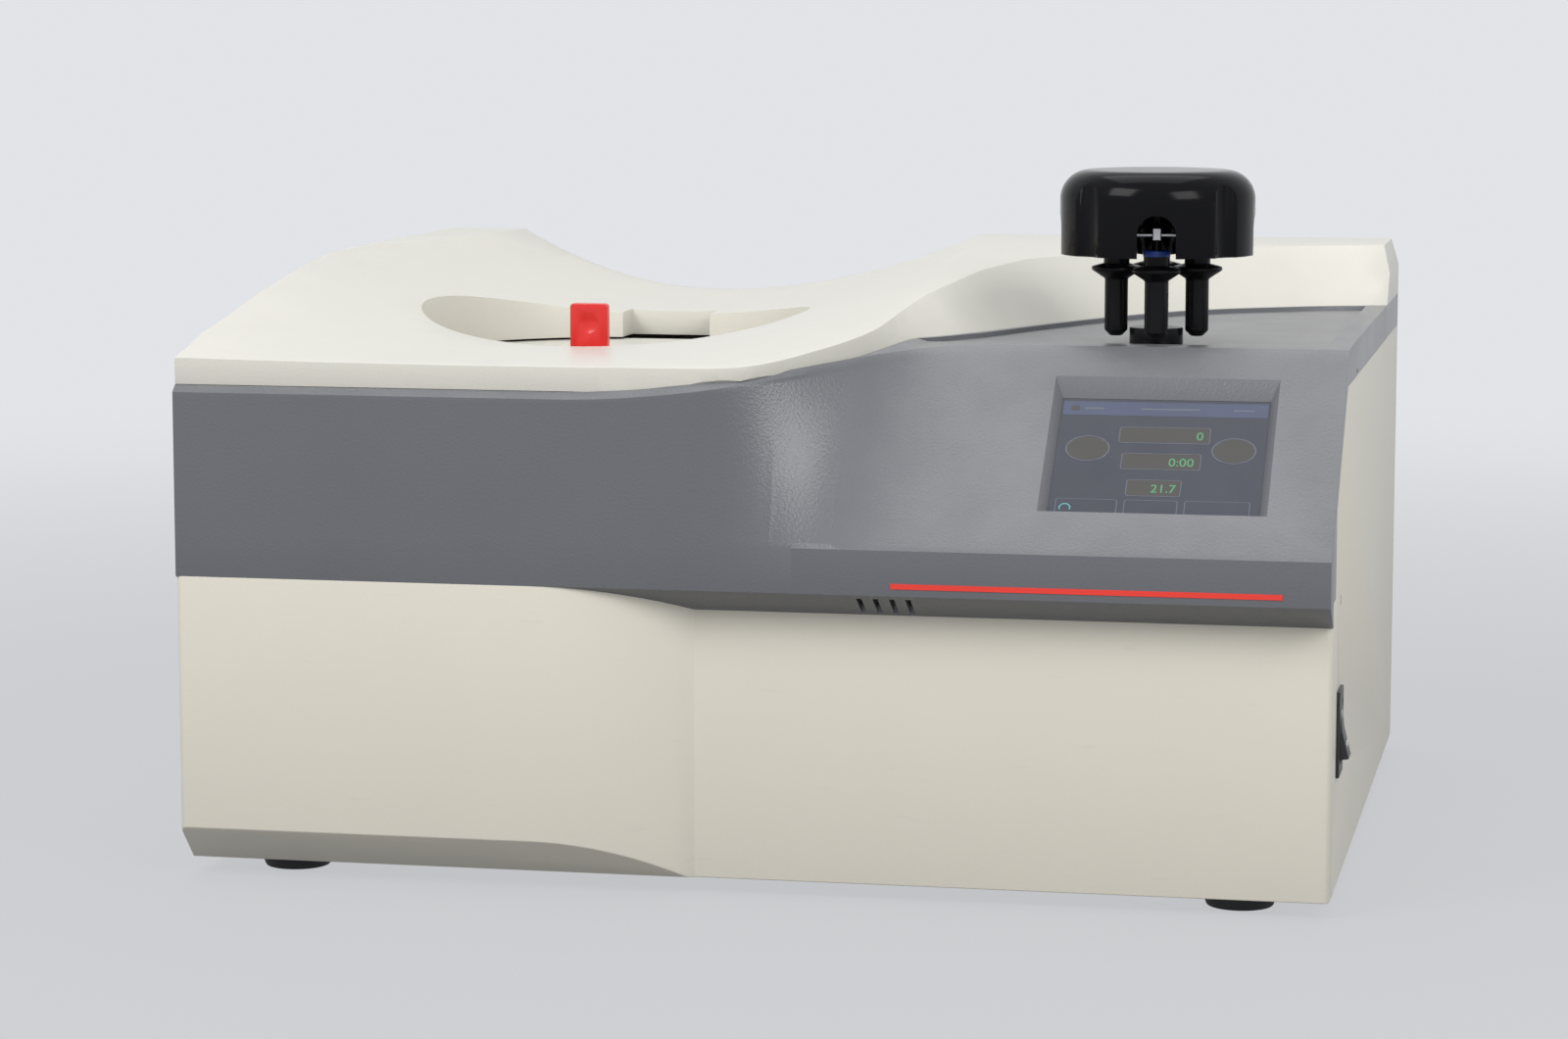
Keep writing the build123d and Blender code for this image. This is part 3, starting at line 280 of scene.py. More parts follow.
def blend_colour(tree, amount, below, above):
    """A colour mix whose factor is a socket; below and above are sockets or colours."""
    mix = tree.nodes.new("ShaderNodeMix")
    mix.data_type = "RGBA"
    tree.links.new(amount, mix.inputs[0])
    for socket, value in ((mix.inputs[6], below), (mix.inputs[7], above)):
        if isinstance(value, tuple):
            socket.default_value = value
        else:
            tree.links.new(value, socket)
    return mix.outputs[2]


def shade(colour, factor):
    """The colour made lighter or darker, as the four numbers of a socket."""
    return tuple(min(1.0, c * factor) for c in colour[:3]) + (1.0,)


def finish(
    name, colour, roughness, scale=900, depth=0.00003, mottle=0.05, metallic=0.0,
    coat=0.0, dust=0.2, scuffs=0.2, stretched=(1, 1, 1), rings=None, specular=0.5,
):
    """A paint, plastic or metal with grain, mottle, dust and scuffs."""
    material = bpy.data.materials.new(name)
    material.use_nodes = True
    tree = material.node_tree
    shader = tree.nodes["Principled BSDF"]
    shader.inputs["Metallic"].default_value = metallic
    shader.inputs["Coat Weight"].default_value = coat
    shader.inputs["Coat Roughness"].default_value = coat_roughness
    shader.inputs["Specular IOR Level"].default_value = specular
    place = tree.nodes.new("ShaderNodeTexCoord")
    mapping = tree.nodes.new("ShaderNodeMapping")
    mapping.inputs["Scale"].default_value = stretched
    tree.links.new(place.outputs["Object"], mapping.inputs["Vector"])
    grain = tree.nodes.new("ShaderNodeGroup")
    grain.node_tree = grain_group
    grain.inputs["Grain Scale"].default_value = scale
    tree.links.new(mapping.outputs["Vector"], grain.inputs["Place"])
    marks = tree.nodes.new("ShaderNodeGroup")
    marks.node_tree = marks_group
    marks.inputs["Dust"].default_value = dust
    marks.inputs["Scuffs"].default_value = scuffs
    tree.links.new(place.outputs["Object"], marks.inputs["Place"])
    darker, lighter = shade(colour, 1 - mottle), shade(colour, 1 + mottle)
    base = blend_colour(tree, grain.outputs["Mottle"], darker, lighter)
    base = blend_colour(tree, marks.outputs["Dust"], base, dust_colour)
    base = blend_colour(tree, marks.outputs["Scuffs"], base, shade(colour, 0.6))
    tree.links.new(base, shader.inputs["Base Color"])
    rough = tree.nodes.new("ShaderNodeMapRange")
    rough.inputs["To Min"].default_value = max(0.02, roughness - rough_spread)
    rough.inputs["To Max"].default_value = roughness + rough_spread
    tree.links.new(grain.outputs["Mottle"], rough.inputs["Value"])
    tree.links.new(rough.outputs["Result"], shader.inputs["Roughness"])
    height = grain.outputs["Height"]
    if rings:
        centre = tree.nodes.new("ShaderNodeMapping")
        centre.inputs["Location"].default_value = (-rings[0], -rings[1], 0)
        tree.links.new(place.outputs["Object"], centre.inputs["Vector"])
        wave = tree.nodes.new("ShaderNodeTexWave")
        wave.wave_type = "RINGS"
        wave.rings_direction = "Z"
        wave.inputs["Scale"].default_value = ring_scale
        wave.inputs["Distortion"].default_value = 0.4
        tree.links.new(centre.outputs["Vector"], wave.inputs["Vector"])
        height = wave.outputs["Fac"]
    bump = tree.nodes.new("ShaderNodeBump")
    bump.inputs["Strength"].default_value = bump_strength
    bump.inputs["Distance"].default_value = depth
    tree.links.new(height, bump.inputs["Height"])
    tree.links.new(bump.outputs["Normal"], shader.inputs["Normal"])
    return material


# %% The object's finishes
rotor_low, rotor_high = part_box("rotor_body")
rotor_axis = ((rotor_low[0] + rotor_high[0]) / 2, (rotor_low[1] + rotor_high[1]) / 2)
cream_paint = finish(
    "cream_paint", (0.69, 0.655, 0.56), 0.42,
    scale=700, depth=0.00008, mottle=0.015, scuffs=0.08,
)
cover_paint = finish(
    "cover_cream", (0.64, 0.62, 0.552), 0.34,
    scale=620, depth=0.00022, mottle=0.015, scuffs=0.05,
)
grey_paint = finish(
    "grey_paint", (0.132, 0.136, 0.148), 0.32,
    scale=620, depth=0.00032, mottle=0.04, scuffs=0.06,
)
red_plastic = finish("red_plastic", (0.66, 0.018, 0.014), 0.32, depth=0.00002, coat=0.15, dust=0.05)
stripe_red = finish("stripe_red", (0.80, 0.045, 0.03), 0.35, depth=0.00001, dust=0.05, scuffs=0.05)
black_plastic = finish("black_plastic", (0.018, 0.018, 0.019), 0.42, scale=1200, dust=0.08)
rubber = finish("rubber", (0.022, 0.022, 0.023), 0.75, scale=1500, depth=0.00006, dust=0.3)
turned_black = finish(
    "turned_black", (0.005, 0.005, 0.006), 0.15,
    depth=0.000003, dust=0.0, scuffs=0.0, rings=rotor_axis, specular=0.09,
)
satin_black = finish(
    "satin_black", (0.007, 0.007, 0.008), 0.26,
    scale=2500, depth=0.00001, dust=0.01, scuffs=0.03, specular=0.14,
)
blue_plastic = finish("blue_plastic", (0.01, 0.06, 0.35), 0.3, depth=0.00001, dust=0.05)
sheet_steel = finish(
    "sheet_steel", (0.60, 0.61, 0.63), 0.38, scale=300, metallic=1.0, stretched=(1, 12, 12)
)
aluminium = finish(
    "aluminium", (0.74, 0.75, 0.77), 0.34, scale=260, metallic=1.0, stretched=(14, 1, 14)
)
copper = finish(
    "copper_winding", (0.62, 0.30, 0.14), 0.35, scale=500, metallic=1.0, stretched=(1, 1, 20)
)
board_green = finish("board_green", (0.02, 0.16, 0.06), 0.45, scale=400)
ceramic_white = finish("ceramic_white", (0.80, 0.80, 0.77), 0.55, scale=900)
slot_finish = {
    "cream_paint": cream_paint,
    "cover_cream": cover_paint,
    "grey_paint": grey_paint,
    "red_plastic": red_plastic,
    "stripe_red": stripe_red,
    "black_plastic": black_plastic,
    "rubber": rubber,
    "black_anodised": satin_black,
    "sheet_steel": sheet_steel,
    "aluminium": aluminium,
    "copper": copper,
    "board_green": board_green,
    "ceramic_white": ceramic_white,
    "screen": black_plastic,
}
print(len(slot_finish), "finishes")

# %% [markdown]
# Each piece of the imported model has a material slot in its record. The finish of
# that slot goes straight onto the piece, so that the hidden machinery is dressed too.

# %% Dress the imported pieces
node_slot = {part["node"]: part["material_slot"] for part in frame["record"]["subparts"]}
for name, piece in nodes.items():
    piece.data.materials.clear()
    piece.data.materials.append(slot_finish[node_slot[name]])
nodes["rotor_body"].data.materials[0] = turned_black
nodes["door_rails"].data.materials[0] = cover_paint
print("dressed", len(nodes), "pieces")

# %% [markdown]
# ## Softened edges
# Moulded covers and bent sheet never end in a knife edge: a small radius catches the
# light along every edge. It could be drawn into each solid, but a bevel on a joined
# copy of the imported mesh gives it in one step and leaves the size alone, so each
# painted shell and each turned piece gets its own copy with its own radius.

# %% Helpers that pick a piece and round its edges
def choose(piece):
    """Selects piece alone and makes it the active object."""
    bpy.ops.object.select_all(action="DESELECT")
    piece.select_set(True)
    bpy.context.view_layer.objects.active = piece


def round_edges(piece, radius, angle=30, segments=3, corner="MITER_SHARP"):
    """Rounds the edges that bend by more than angle, in degrees."""
    choose(piece)
    edge = piece.modifiers.new("edge_radius", "BEVEL")
    edge.width = radius
    edge.segments = segments
    edge.limit_method = "ANGLE"
    edge.angle_limit = math.radians(angle)
    edge.miter_outer = corner
    bpy.ops.object.modifier_apply(modifier=edge.name)


def body_name(node):
    """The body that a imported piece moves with."""
    for body, members in frame["record"]["behaviour"]["bodies"].items():
        if node in members:
            return body
    return "root"


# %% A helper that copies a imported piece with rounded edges
def softened(node, radius, angle):
    """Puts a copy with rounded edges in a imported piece's place."""
    piece = nodes[node].copy()
    piece.data = nodes[node].data.copy()
    piece.name = "soft_" + node
    piece.parent = None
    bpy.context.scene.collection.objects.link(piece)
    choose(piece)
    bpy.ops.object.mode_set(mode="EDIT")
    bpy.ops.mesh.select_all(action="SELECT")
    bpy.ops.mesh.remove_doubles(threshold=0.000002)
    bpy.ops.mesh.dissolve_limited(angle_limit=math.radians(0.3))
    bpy.ops.object.mode_set(mode="OBJECT")
    round_edges(piece, radius, angle, corner="MITER_ARC")
    bpy.ops.object.shade_smooth_by_angle(angle=math.radians(angle))
    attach(piece, body_name(node))
    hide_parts(node)


# %% Round the shells, the door, the switch and the rotor
edge_radius = {
    "top_cover": 0.0012,
    "lower_front_panel": 0.0007,
    "side_panel_right": 0.0006,
    "side_panel_left": 0.0006,
    "chamber_door": 0.0008,
    "switch_bezel": 0.0008,
    "power_rocker": 0.0006,
    "rotor_body": 0.0005,
    "rotor_stand": 0.0005,
    "feet": 0.0010,
    "fan_guard": 0.0004,
    "power_inlet": 0.0005,
    "exhaust_barb": 0.0004,
}
edge_radius.update({f"bucket_{i}": 0.0008 for i in range(1, 5)})
edge_radius.update({f"bucket_cap_{i}": 0.0003 for i in range(1, 5)})
usual_bend = 28
bend = {"rotor_body": 40}
for name, radius in edge_radius.items():
    softened(name, radius, bend.get(name, usual_bend))
print("rounded", len(edge_radius), "pieces")

# %% [markdown]
# ## Screen
# The screen is a dark glossy panel behind a mitred frame in the tilted face. Its
# picture could be an image, but it is only a bar, a few framed boxes with green
# numbers, two ovals and three buttons, so each is a thin plate with rounded corners
# that lies on the glass, all placed in millimetres across and up the glass.

# %% The plane of the glass
glass = nodes["screen_glass"].data
outer_faces = [face for face in glass.polygons if face.normal.z > 0 and face.normal.y < 0]
glass_normal = max(outer_faces, key=lambda face: face.area).normal.copy()
front = max(vertex.co.dot(glass_normal) for vertex in glass.vertices)
corners = [v.co.copy() for v in glass.vertices if v.co.dot(glass_normal) > front - 0.0001]
low_left = min(corners, key=lambda c: (round(c.x, 4), c.z))
glass_width = max(c.x for c in corners) - low_left.x
up_axis = glass_normal.cross(Vector((1, 0, 0)))
glass_height = max((c - low_left).dot(up_axis) for c in corners)
glass_turn = Matrix((Vector((1, 0, 0)), up_axis, glass_normal)).transposed()
on_glass = Matrix.Translation(low_left) @ glass_turn.to_4x4()
print("glass", round(glass_width, 4), "by", round(glass_height, 4), "m")

# %% [markdown]
# ## Grey front housing
# The grey housing is one moulding: a flat face at the left, a tilted panel at the
# right, a sweep that leads from one into the other, and the deck behind them. A
# bevel can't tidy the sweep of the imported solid, which is drawn in straight runs.
# So the outline in the YZ plane is worked out at many places along X and the rows
# are joined into a sheet, which then gets its wall, its cuts and its edge radius
# from modifiers, as a moulded shell would be drawn by hand.

# %% Sizes of the housing, in metres
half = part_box("control_housing")[1][0]
front_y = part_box("side_panel_right")[0][1] - 0.042
rear_y = -front_y
strip_low = 0.190
strip_top = 0.2173
left_top = 0.3034
panel_top = 0.3265
deck_top = 0.332
panel_run = 0.119
bevel_back = 0.025
bevel_drop = 0.015
flange = 0.004
lip_run = 0.005
lip_rise = 0.0042
seam_gap = 0.002
ledge_run = 0.010
rear_gap = 0.002
housing_wall = 0.0045
sweep_left = -0.042
sweep_width = 0.178
rise_left = -0.11
rise_width = 0.25
deck_left = 0.050
deck_blend = 0.030
seam_rows = [
    (-0.092, -0.303, 0.3076),
    (-0.044, -0.302, 0.3106),
    (0.002, -0.295, 0.3156),
    (0.024, -0.272, 0.3186),
    (0.046, -0.243, 0.3216),
    (0.066, -0.214, 0.3276),
    (0.081, -0.184, 0.3320),
    (0.093, -0.155, 0.3320),
]
print("housing", round(2 * half, 3), "m wide from y", round(front_y, 3))


# %% Curves of the sweep
def smooth(share):
    """Rises from 0 to 1 with a level start and end."""
    share = min(1.0, max(0.0, share))
    return share * share * (3 - 2 * share)


def gentle(share):
    """Like smooth, with no sudden start or end to its curve."""
    share = min(1.0, max(0.0, share))
    return share ** 3 * (10 - 15 * share + 6 * share * share)


def seam_at(x, column):
    """The seam's y (column 1) or z (column 2) at x, along a smooth curve."""
    last = len(seam_rows) - 1
    i = max(k for k in range(last) if k == 0 or x >= seam_rows[k][0])
    a, b = seam_rows[i], seam_rows[i + 1]
    before, after = seam_rows[max(0, i - 1)], seam_rows[min(last, i + 2)]
    run = b[0] - a[0]
    u = min(1.0, max(0.0, (x - a[0]) / run))
    start_slope = (b[column] - before[column]) / (b[0] - before[0])
    end_slope = (after[column] - a[column]) / (after[0] - a[0])
    pull = start_slope * run * u * (1 - u) ** 2 - end_slope * run * u * u * (1 - u)
    return a[column] + (b[column] - a[column]) * smooth(u) + pull


def crest_at(x):
    """Y and Z of the front face's top edge."""
    y = front_y + panel_run * gentle((x - sweep_left) / sweep_width)
    return y, left_top + (panel_top - left_top) * smooth((x - rise_left) / rise_width)


def outline_at(x):
    """The housing's outline at x, from under the strip up to the back of the deck."""
    crest_y, crest_z = crest_at(x)
    seam_y = max(seam_at(x, 1), crest_y + lip_run + seam_gap)
    top = max(seam_at(x, 2), crest_z + lip_rise)
    ledge = seam_y + ledge_run
    back = ledge + (rear_y - rear_gap - ledge) * smooth((x - deck_left) / deck_blend)
    # A row close to each end of the face keeps the shading of its edges off the face.
    rows = [(front_y, strip_low), (front_y, strip_top)]
    for share in (0.03, 0.97):
        y = front_y + share * (crest_y - front_y)
        rows.append((y, strip_top + share * (crest_z - strip_top)))
    return [
        (front_y + bevel_back + flange, strip_low - bevel_drop),
        (front_y + bevel_back, strip_low - bevel_drop),
        *rows,
        (crest_y, crest_z),
        (crest_y + lip_run, crest_z + lip_rise),
        (seam_y, top),
        (back, top),
    ]


# %% Join the outlines into a sheet
flat_end = -0.150
fine_start = -0.120
fine_run = 0.260
fine_steps = 56
places = [-half, flat_end]
places += [fine_start + i * fine_run / fine_steps for i in range(fine_steps + 1)]
places += [half]
sheet = bmesh.new()
rows = [[sheet.verts.new((x, y, z)) for y, z in outline_at(x)] for x in places]
for left_row, right_row in zip(rows, rows[1:]):
    for i in range(len(left_row) - 1):
        sheet.faces.new((left_row[i], right_row[i], right_row[i + 1], left_row[i + 1]))
# The lower rows' ends are tucked in, so that they don't lie in the lower front's sides.
tuck = 0.006
rows[0][0].co.x += tuck
rows[0][1].co.x += tuck
rows[-1][0].co.x -= tuck
side_run = 0.0416
side_high = 0.2422
side_back = front_y + side_run
band_low = 0.3094
band_front = -0.1914
right_edge = [
    (rear_y - rear_gap, band_low),
    (band_front, band_low),
    (side_back, side_high),
    (side_back, strip_low),
    (front_y + bevel_back, strip_low),
]
left_edge = [(side_back, left_top + lip_rise), (side_back, strip_low)]
right_cap = rows[-1][1:] + [sheet.verts.new((half, y, z)) for y, z in right_edge]
left_cap = rows[0][2:-1] + [sheet.verts.new((-half, y, z)) for y, z in left_edge]
sheet.faces.new(list(reversed(right_cap)))
sheet.faces.new(left_cap)
bmesh.ops.recalc_face_normals(sheet, faces=sheet.faces)
housing_mesh = bpy.data.meshes.new("front_housing")
sheet.to_mesh(housing_mesh)
sheet.free()
housing = bpy.data.objects.new("front_housing", housing_mesh)
bpy.context.scene.collection.objects.link(housing)
strip_face = min(housing_mesh.polygons, key=lambda face: face.center.y)
if strip_face.normal.y > 0:
    housing_mesh.flip_normals()
print("housing sheet", len(housing_mesh.polygons), "faces")

# %% Helpers for boxes, prisms and cuts
def cube(name, middle, size, turn=0.0):
    """A box of the given size, turned about Z, with its place in its mesh."""
    bpy.ops.object.select_all(action="DESELECT")
    bpy.ops.mesh.primitive_cube_add(size=1, location=middle, rotation=(0, 0, turn), scale=size)
    piece = bpy.context.object
    piece.name = name
    bpy.ops.object.transform_apply(location=True, rotation=True, scale=True)
    return piece


def prism(name, low_ring, high_ring):
    """A closed form between two rings of points with the same count."""
    form = bmesh.new()
    low = [form.verts.new(p) for p in low_ring]
    high = [form.verts.new(p) for p in high_ring]
    count = len(low)
    for i in range(count):
        form.faces.new((low[i], low[(i + 1) % count], high[(i + 1) % count], high[i]))
    form.faces.new(list(reversed(low)))
    form.faces.new(high)
    bmesh.ops.recalc_face_normals(form, faces=form.faces)
    mesh = bpy.data.meshes.new(name)
    form.to_mesh(mesh)
    form.free()
    piece = bpy.data.objects.new(name, mesh)
    bpy.context.scene.collection.objects.link(piece)
    return piece


def combine(piece, tool, operation):
    """Adds or cuts with tool, which is then removed."""
    choose(piece)
    step = piece.modifiers.new(tool.name, "BOOLEAN")
    step.operation = operation
    step.solver = "EXACT"
    step.object = tool
    bpy.ops.object.modifier_apply(modifier=step.name)
    bpy.data.objects.remove(tool)


def glass_ring(side, top, bottom, lift):
    """A rectangle round the glass, grown and lifted, in metres."""
    x = (-side, glass_width + side)
    y = (-bottom, glass_height + top)
    ring = ((x[0], y[0]), (x[1], y[0]), (x[1], y[1]), (x[0], y[1]))
    return [on_glass @ Vector((across, up, lift)) for across, up in ring]


# %% Give the housing a wall and cut the screen recess, the vents and the tray
choose(housing)
wall = housing.modifiers.new("wall", "SOLIDIFY")
wall.thickness = housing_wall
wall.offset = -1
bpy.ops.object.modifier_apply(modifier=wall.name)

bezel_depth = 0.006
boss = (0.010, 0.018, 0.006)
mitre = (0.0104, 0.026, 0.003)
boss_low = glass_ring(*boss, -0.002)
boss_high = glass_ring(*boss, bezel_depth - 0.0012)
combine(housing, prism("boss", boss_low, boss_high), "UNION")
recess_high = glass_ring(*mitre, 2 * bezel_depth)
combine(housing, prism("recess", glass_ring(0, 0, 0, 0.0), recess_high), "DIFFERENCE")
fit = 0.0002
opening_low = glass_ring(fit, fit, fit, -0.02)
opening_high = glass_ring(fit, fit, fit, 0.0001)
combine(housing, prism("opening", opening_low, opening_high), "DIFFERENCE")

vent_first = 0.0734
vent_step = 0.0099
vent_half = 0.0016
vent_y = (front_y + 0.004, front_y + 0.022)
vent_z = (0.160, 0.205)
for i in range(4):
    left = vent_first + vent_step * i - vent_half
    right = vent_first + vent_step * i + vent_half
    ring = [(left, vent_y[0]), (right, vent_y[0]), (right, vent_y[1]), (left, vent_y[1])]
    low, high = [[(x, y, z) for x, y in ring] for z in vent_z]
    combine(housing, prism(f"vent_{i}", low, high), "DIFFERENCE")

tray_rim = 0.014
tray_depth = 0.003
tray_left = 0.084
tray_notch = (0.098, -0.146)
tray_back = 0.1716
seam_inset = (0.0042, -0.0024)
seam_line = [
    (0.114, -0.108), (0.137, -0.050), (0.162, 0.007), (0.188, 0.056),
    (0.216, 0.099), (0.246, 0.128), (0.278, 0.149), (0.303, 0.164),
]
tray_front = crest_at(half)[0] + lip_run + tray_rim
tray_right = half - tray_rim
ring = [(tray_left, tray_front), (tray_right, tray_front), (tray_right, tray_back)]
ring += [(x + seam_inset[0], y + seam_inset[1]) for x, y in reversed(seam_line)]
ring += [tray_notch]
low, high = [[(x, y, z) for x, y in ring] for z in (deck_top - tray_depth, deck_top + 0.013)]
combine(housing, prism("tray", low, high), "DIFFERENCE")
print("housing with its cuts", len(housing.data.polygons), "faces")

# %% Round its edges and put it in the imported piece's place
round_edges(housing, 0.0009, 24)
bpy.ops.object.shade_smooth_by_angle(angle=math.radians(30))
housing.data.materials.clear()
housing.data.materials.append(grey_paint)
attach(housing, "cabinet")
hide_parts("control_housing")
print("housing", len(housing.data.polygons), "faces after its edge radius")

# %% [markdown]
# ## Door handle
# The red handle is a thick tab with rounded upper corners and a thumb dimple. A
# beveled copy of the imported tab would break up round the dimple, so a fresh block is
# beveled first and the dimple is then cut with a smooth ball.

# %% The tab, its dimple and its foot
handle_low, handle_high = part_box("door_handle")
tab_depth = 0.007
tab_width = 0.025
corner = 0.0025
dimple_radius = 0.0182
dimple_depth = 0.0012
dimple_drop = 0.013
foot_thick = 0.0012
middle_x = (handle_low[0] + handle_high[0]) / 2
middle_z = (handle_low[2] + handle_high[2]) / 2
size = (tab_width, tab_depth, handle_high[2] - handle_low[2])
handle = cube("red_handle", (middle_x, handle_low[1] + tab_depth / 2, middle_z), size)
bpy.ops.object.mode_set(mode="EDIT")
bpy.ops.mesh.select_mode(type="EDGE")
bpy.ops.mesh.select_all(action="DESELECT")
mesh = bmesh.from_edit_mesh(handle.data)
for edge in mesh.edges:
    low, high = edge.verts
    at_top = min(low.co.z, high.co.z) > handle_high[2] - 0.001
    edge.select_set(at_top and abs(low.co.y - high.co.y) > 0.005)
bmesh.update_edit_mesh(handle.data)
bpy.ops.mesh.bevel(offset=corner, segments=6)
bpy.ops.object.mode_set(mode="OBJECT")
bpy.ops.object.select_all(action="DESELECT")
bpy.ops.mesh.primitive_uv_sphere_add(
    segments=96, ring_count=64, radius=dimple_radius,
    location=(middle_x, handle_low[1] - dimple_radius + dimple_depth, handle_high[2] - dimple_drop),
)
combine(handle, bpy.context.object, "DIFFERENCE")
round_edges(handle, 0.0006, 50)
bpy.ops.object.shade_smooth_by_angle(angle=math.radians(35))
foot_y = (handle_low[1] + tab_depth, handle_high[1])
middle = (middle_x, (foot_y[0] + foot_y[1]) / 2, handle_low[2] + foot_thick / 2)
size = (handle_high[0] - handle_low[0], foot_y[1] - foot_y[0], foot_thick)
foot = cube("handle_foot", middle, size)
bpy.ops.object.mode_set(mode="EDIT")
bpy.ops.mesh.select_all(action="SELECT")
bpy.ops.mesh.bevel(offset=foot_thick / 3, segments=2)
bpy.ops.object.mode_set(mode="OBJECT")
for piece in (handle, foot):
    piece.data.materials.clear()
    piece.data.materials.append(red_plastic)
    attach(piece, "chamber_door")
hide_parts("door_handle")
print("handle", len(handle.data.polygons), "faces")

# %% [markdown]
# ## Picture on the screen
# The picture is drawn as thin plates that lie on the glass, each placed in
# millimetres across and up the glass and moved there by one matrix.

# %% Plates, ovals and numbers on the glass
millimetre = 0.001
display_dark = finish(
    "display_dark", (0.030, 0.036, 0.052), 0.14,
    depth=0.000002, mottle=0.25, dust=0.08, scuffs=0.0, specular=0.25,
)
display_bar = finish(
    "display_bar", (0.055, 0.068, 0.125), 0.14,
    depth=0.000002, mottle=0.2, dust=0.08, scuffs=0.0, specular=0.25,
)
display_box = finish(
    "display_box", (0.050, 0.048, 0.046), 0.14,
    depth=0.000002, mottle=0.1, dust=0.05, scuffs=0.0, specular=0.25,
)
display_line = finish(
    "display_line", (0.105, 0.120, 0.155), 0.14,
    depth=0.000002, dust=0.05, scuffs=0.0, specular=0.25,
)
display_green = finish(
    "display_green", (0.050, 0.240, 0.090), 0.20,
    depth=0.000002, dust=0.05, scuffs=0.0,
)
display_cyan = finish(
    "display_cyan", (0.080, 0.330, 0.360), 0.20,
    depth=0.000002, dust=0.1, scuffs=0.0,
)
screen_pieces = []


def settle_on_glass(piece, name, material):
    """Moves a piece drawn flat in millimetres onto the glass."""
    bpy.ops.object.transform_apply(location=True, rotation=True, scale=True)
    piece.name = name
    piece.data.transform(on_glass @ Matrix.Scale(millimetre, 4))
    piece.data.materials.clear()
    piece.data.materials.append(material)
    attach(piece, "cabinet")
    screen_pieces.append(piece)
    return piece


def plate(name, x, y, lift, thick, radius, material):
    """A thin plate with rounded corners; x and y are (low, high) in millimetres."""
    middle = ((x[0] + x[1]) / 2, (y[0] + y[1]) / 2, lift + thick / 2)
    piece = cube(name, middle, (x[1] - x[0], y[1] - y[0], thick))
    bpy.ops.object.mode_set(mode="EDIT")
    bpy.ops.mesh.select_mode(type="EDGE")
    bpy.ops.mesh.select_all(action="DESELECT")
    mesh = bmesh.from_edit_mesh(piece.data)
    for edge in mesh.edges:
        low, high = edge.verts
        edge.select_set(abs(low.co.z - high.co.z) > thick / 2)
    bmesh.update_edit_mesh(piece.data)
    bpy.ops.mesh.bevel(offset=radius, segments=5)
    bpy.ops.object.mode_set(mode="OBJECT")
    return settle_on_glass(piece, name, material)


def framed_box(name, x, y, material=display_box):
    """A plate with a thin lighter rim round it."""
    plate(name + "_rim", x, y, 0.0, 0.10, 1.6, display_line)
    inner_x = (x[0] + 0.5, x[1] - 0.5)
    inner_y = (y[0] + 0.5, y[1] - 0.3)
    plate(name, inner_x, inner_y, 0.02, 0.12, 1.3, material)


def oval(name, centre, radii):
    """A flat disc with a thin lighter rim round it."""
    bpy.ops.object.select_all(action="DESELECT")
    bpy.ops.mesh.primitive_torus_add(
        major_segments=64, minor_segments=8, major_radius=1, minor_radius=0.035,
        location=(centre[0], centre[1], 0.1),
    )
    piece = bpy.context.object
    piece.scale = (radii[0], radii[1], 3.0)
    settle_on_glass(piece, name + "_rim", display_line)
    bpy.ops.object.select_all(action="DESELECT")
    bpy.ops.mesh.primitive_cylinder_add(
        vertices=64, radius=1, depth=0.14, location=(centre[0], centre[1], 0.05)
    )
    piece = bpy.context.object
    piece.scale = (radii[0], radii[1], 1)
    settle_on_glass(piece, name, display_box)


def number(name, text, right, base, size):
    """Green digits that end at right and stand on base."""
    bpy.ops.object.select_all(action="DESELECT")
    bpy.ops.object.text_add(location=(right, base, 0.13))
    piece = bpy.context.object
    piece.data.body = text
    piece.data.align_x = "RIGHT"
    piece.data.size = size
    piece.data.offset = 0.02 * size / 5
    piece.data.extrude = 0.04
    bpy.ops.object.convert(target="MESH")
    settle_on_glass(bpy.context.object, name, display_green)


wide = glass_width / millimetre
tall = glass_height / millimetre
face = plate("screen_face", (0, wide), (0, tall), -0.9, 0.9, 0.3, display_dark)
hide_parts("screen_glass")
plate("screen_bar", (1, wide - 1), (tall - 13, tall - 2), 0.0, 0.06, 0.4, display_bar)
plate("menu_mark", (6, 11), (tall - 9.5, tall - 5.5), 0.06, 0.05, 0.6, display_box)
for i, (left, right) in enumerate(((14, 26), (48, 84), (104, 117))):
    plate(f"bar_line_{i}", (left, right), (tall - 8.2, tall - 6.8), 0.06, 0.05, 0.5, display_line)
framed_box("speed_box", (37, 92), (59, 72))
framed_box("time_box", (40, 88), (38, 51))
framed_box("temperature_box", (45, 78), (17, 30))
number("speed_number", "0", 88, 62.2, 9)
number("time_number", "0:00", 84, 41.0, 9)
number("temperature_number", "21.7", 75, 20.0, 9)
oval("left_dial", (19, 54), (13, 10))
oval("right_dial", (107, 54), (13, 10))
framed_box("left_button", (4, 41), (1.5, 14), display_dark)
framed_box("middle_button", (45, 77), (1.5, 14), display_dark)
framed_box("right_button", (81, 120), (1.5, 14), display_dark)
bpy.ops.object.select_all(action="DESELECT")
bpy.ops.mesh.primitive_torus_add(
    major_segments=40, minor_segments=8, major_radius=3.2, minor_radius=0.55,
    location=(10, 6.6, 0.12),
)
arc = bpy.context.object
bpy.ops.object.transform_apply(location=True, rotation=True, scale=True)
bpy.ops.object.mode_set(mode="EDIT")
bpy.ops.mesh.select_all(action="SELECT")
bpy.ops.mesh.bisect(plane_co=(10, 5.4, 0), plane_no=(0, -1, 0), clear_outer=True, use_fill=True)
bpy.ops.object.mode_set(mode="OBJECT")
arc.scale = (1, 1, 0.3)
settle_on_glass(arc, "status_arc", display_cyan)
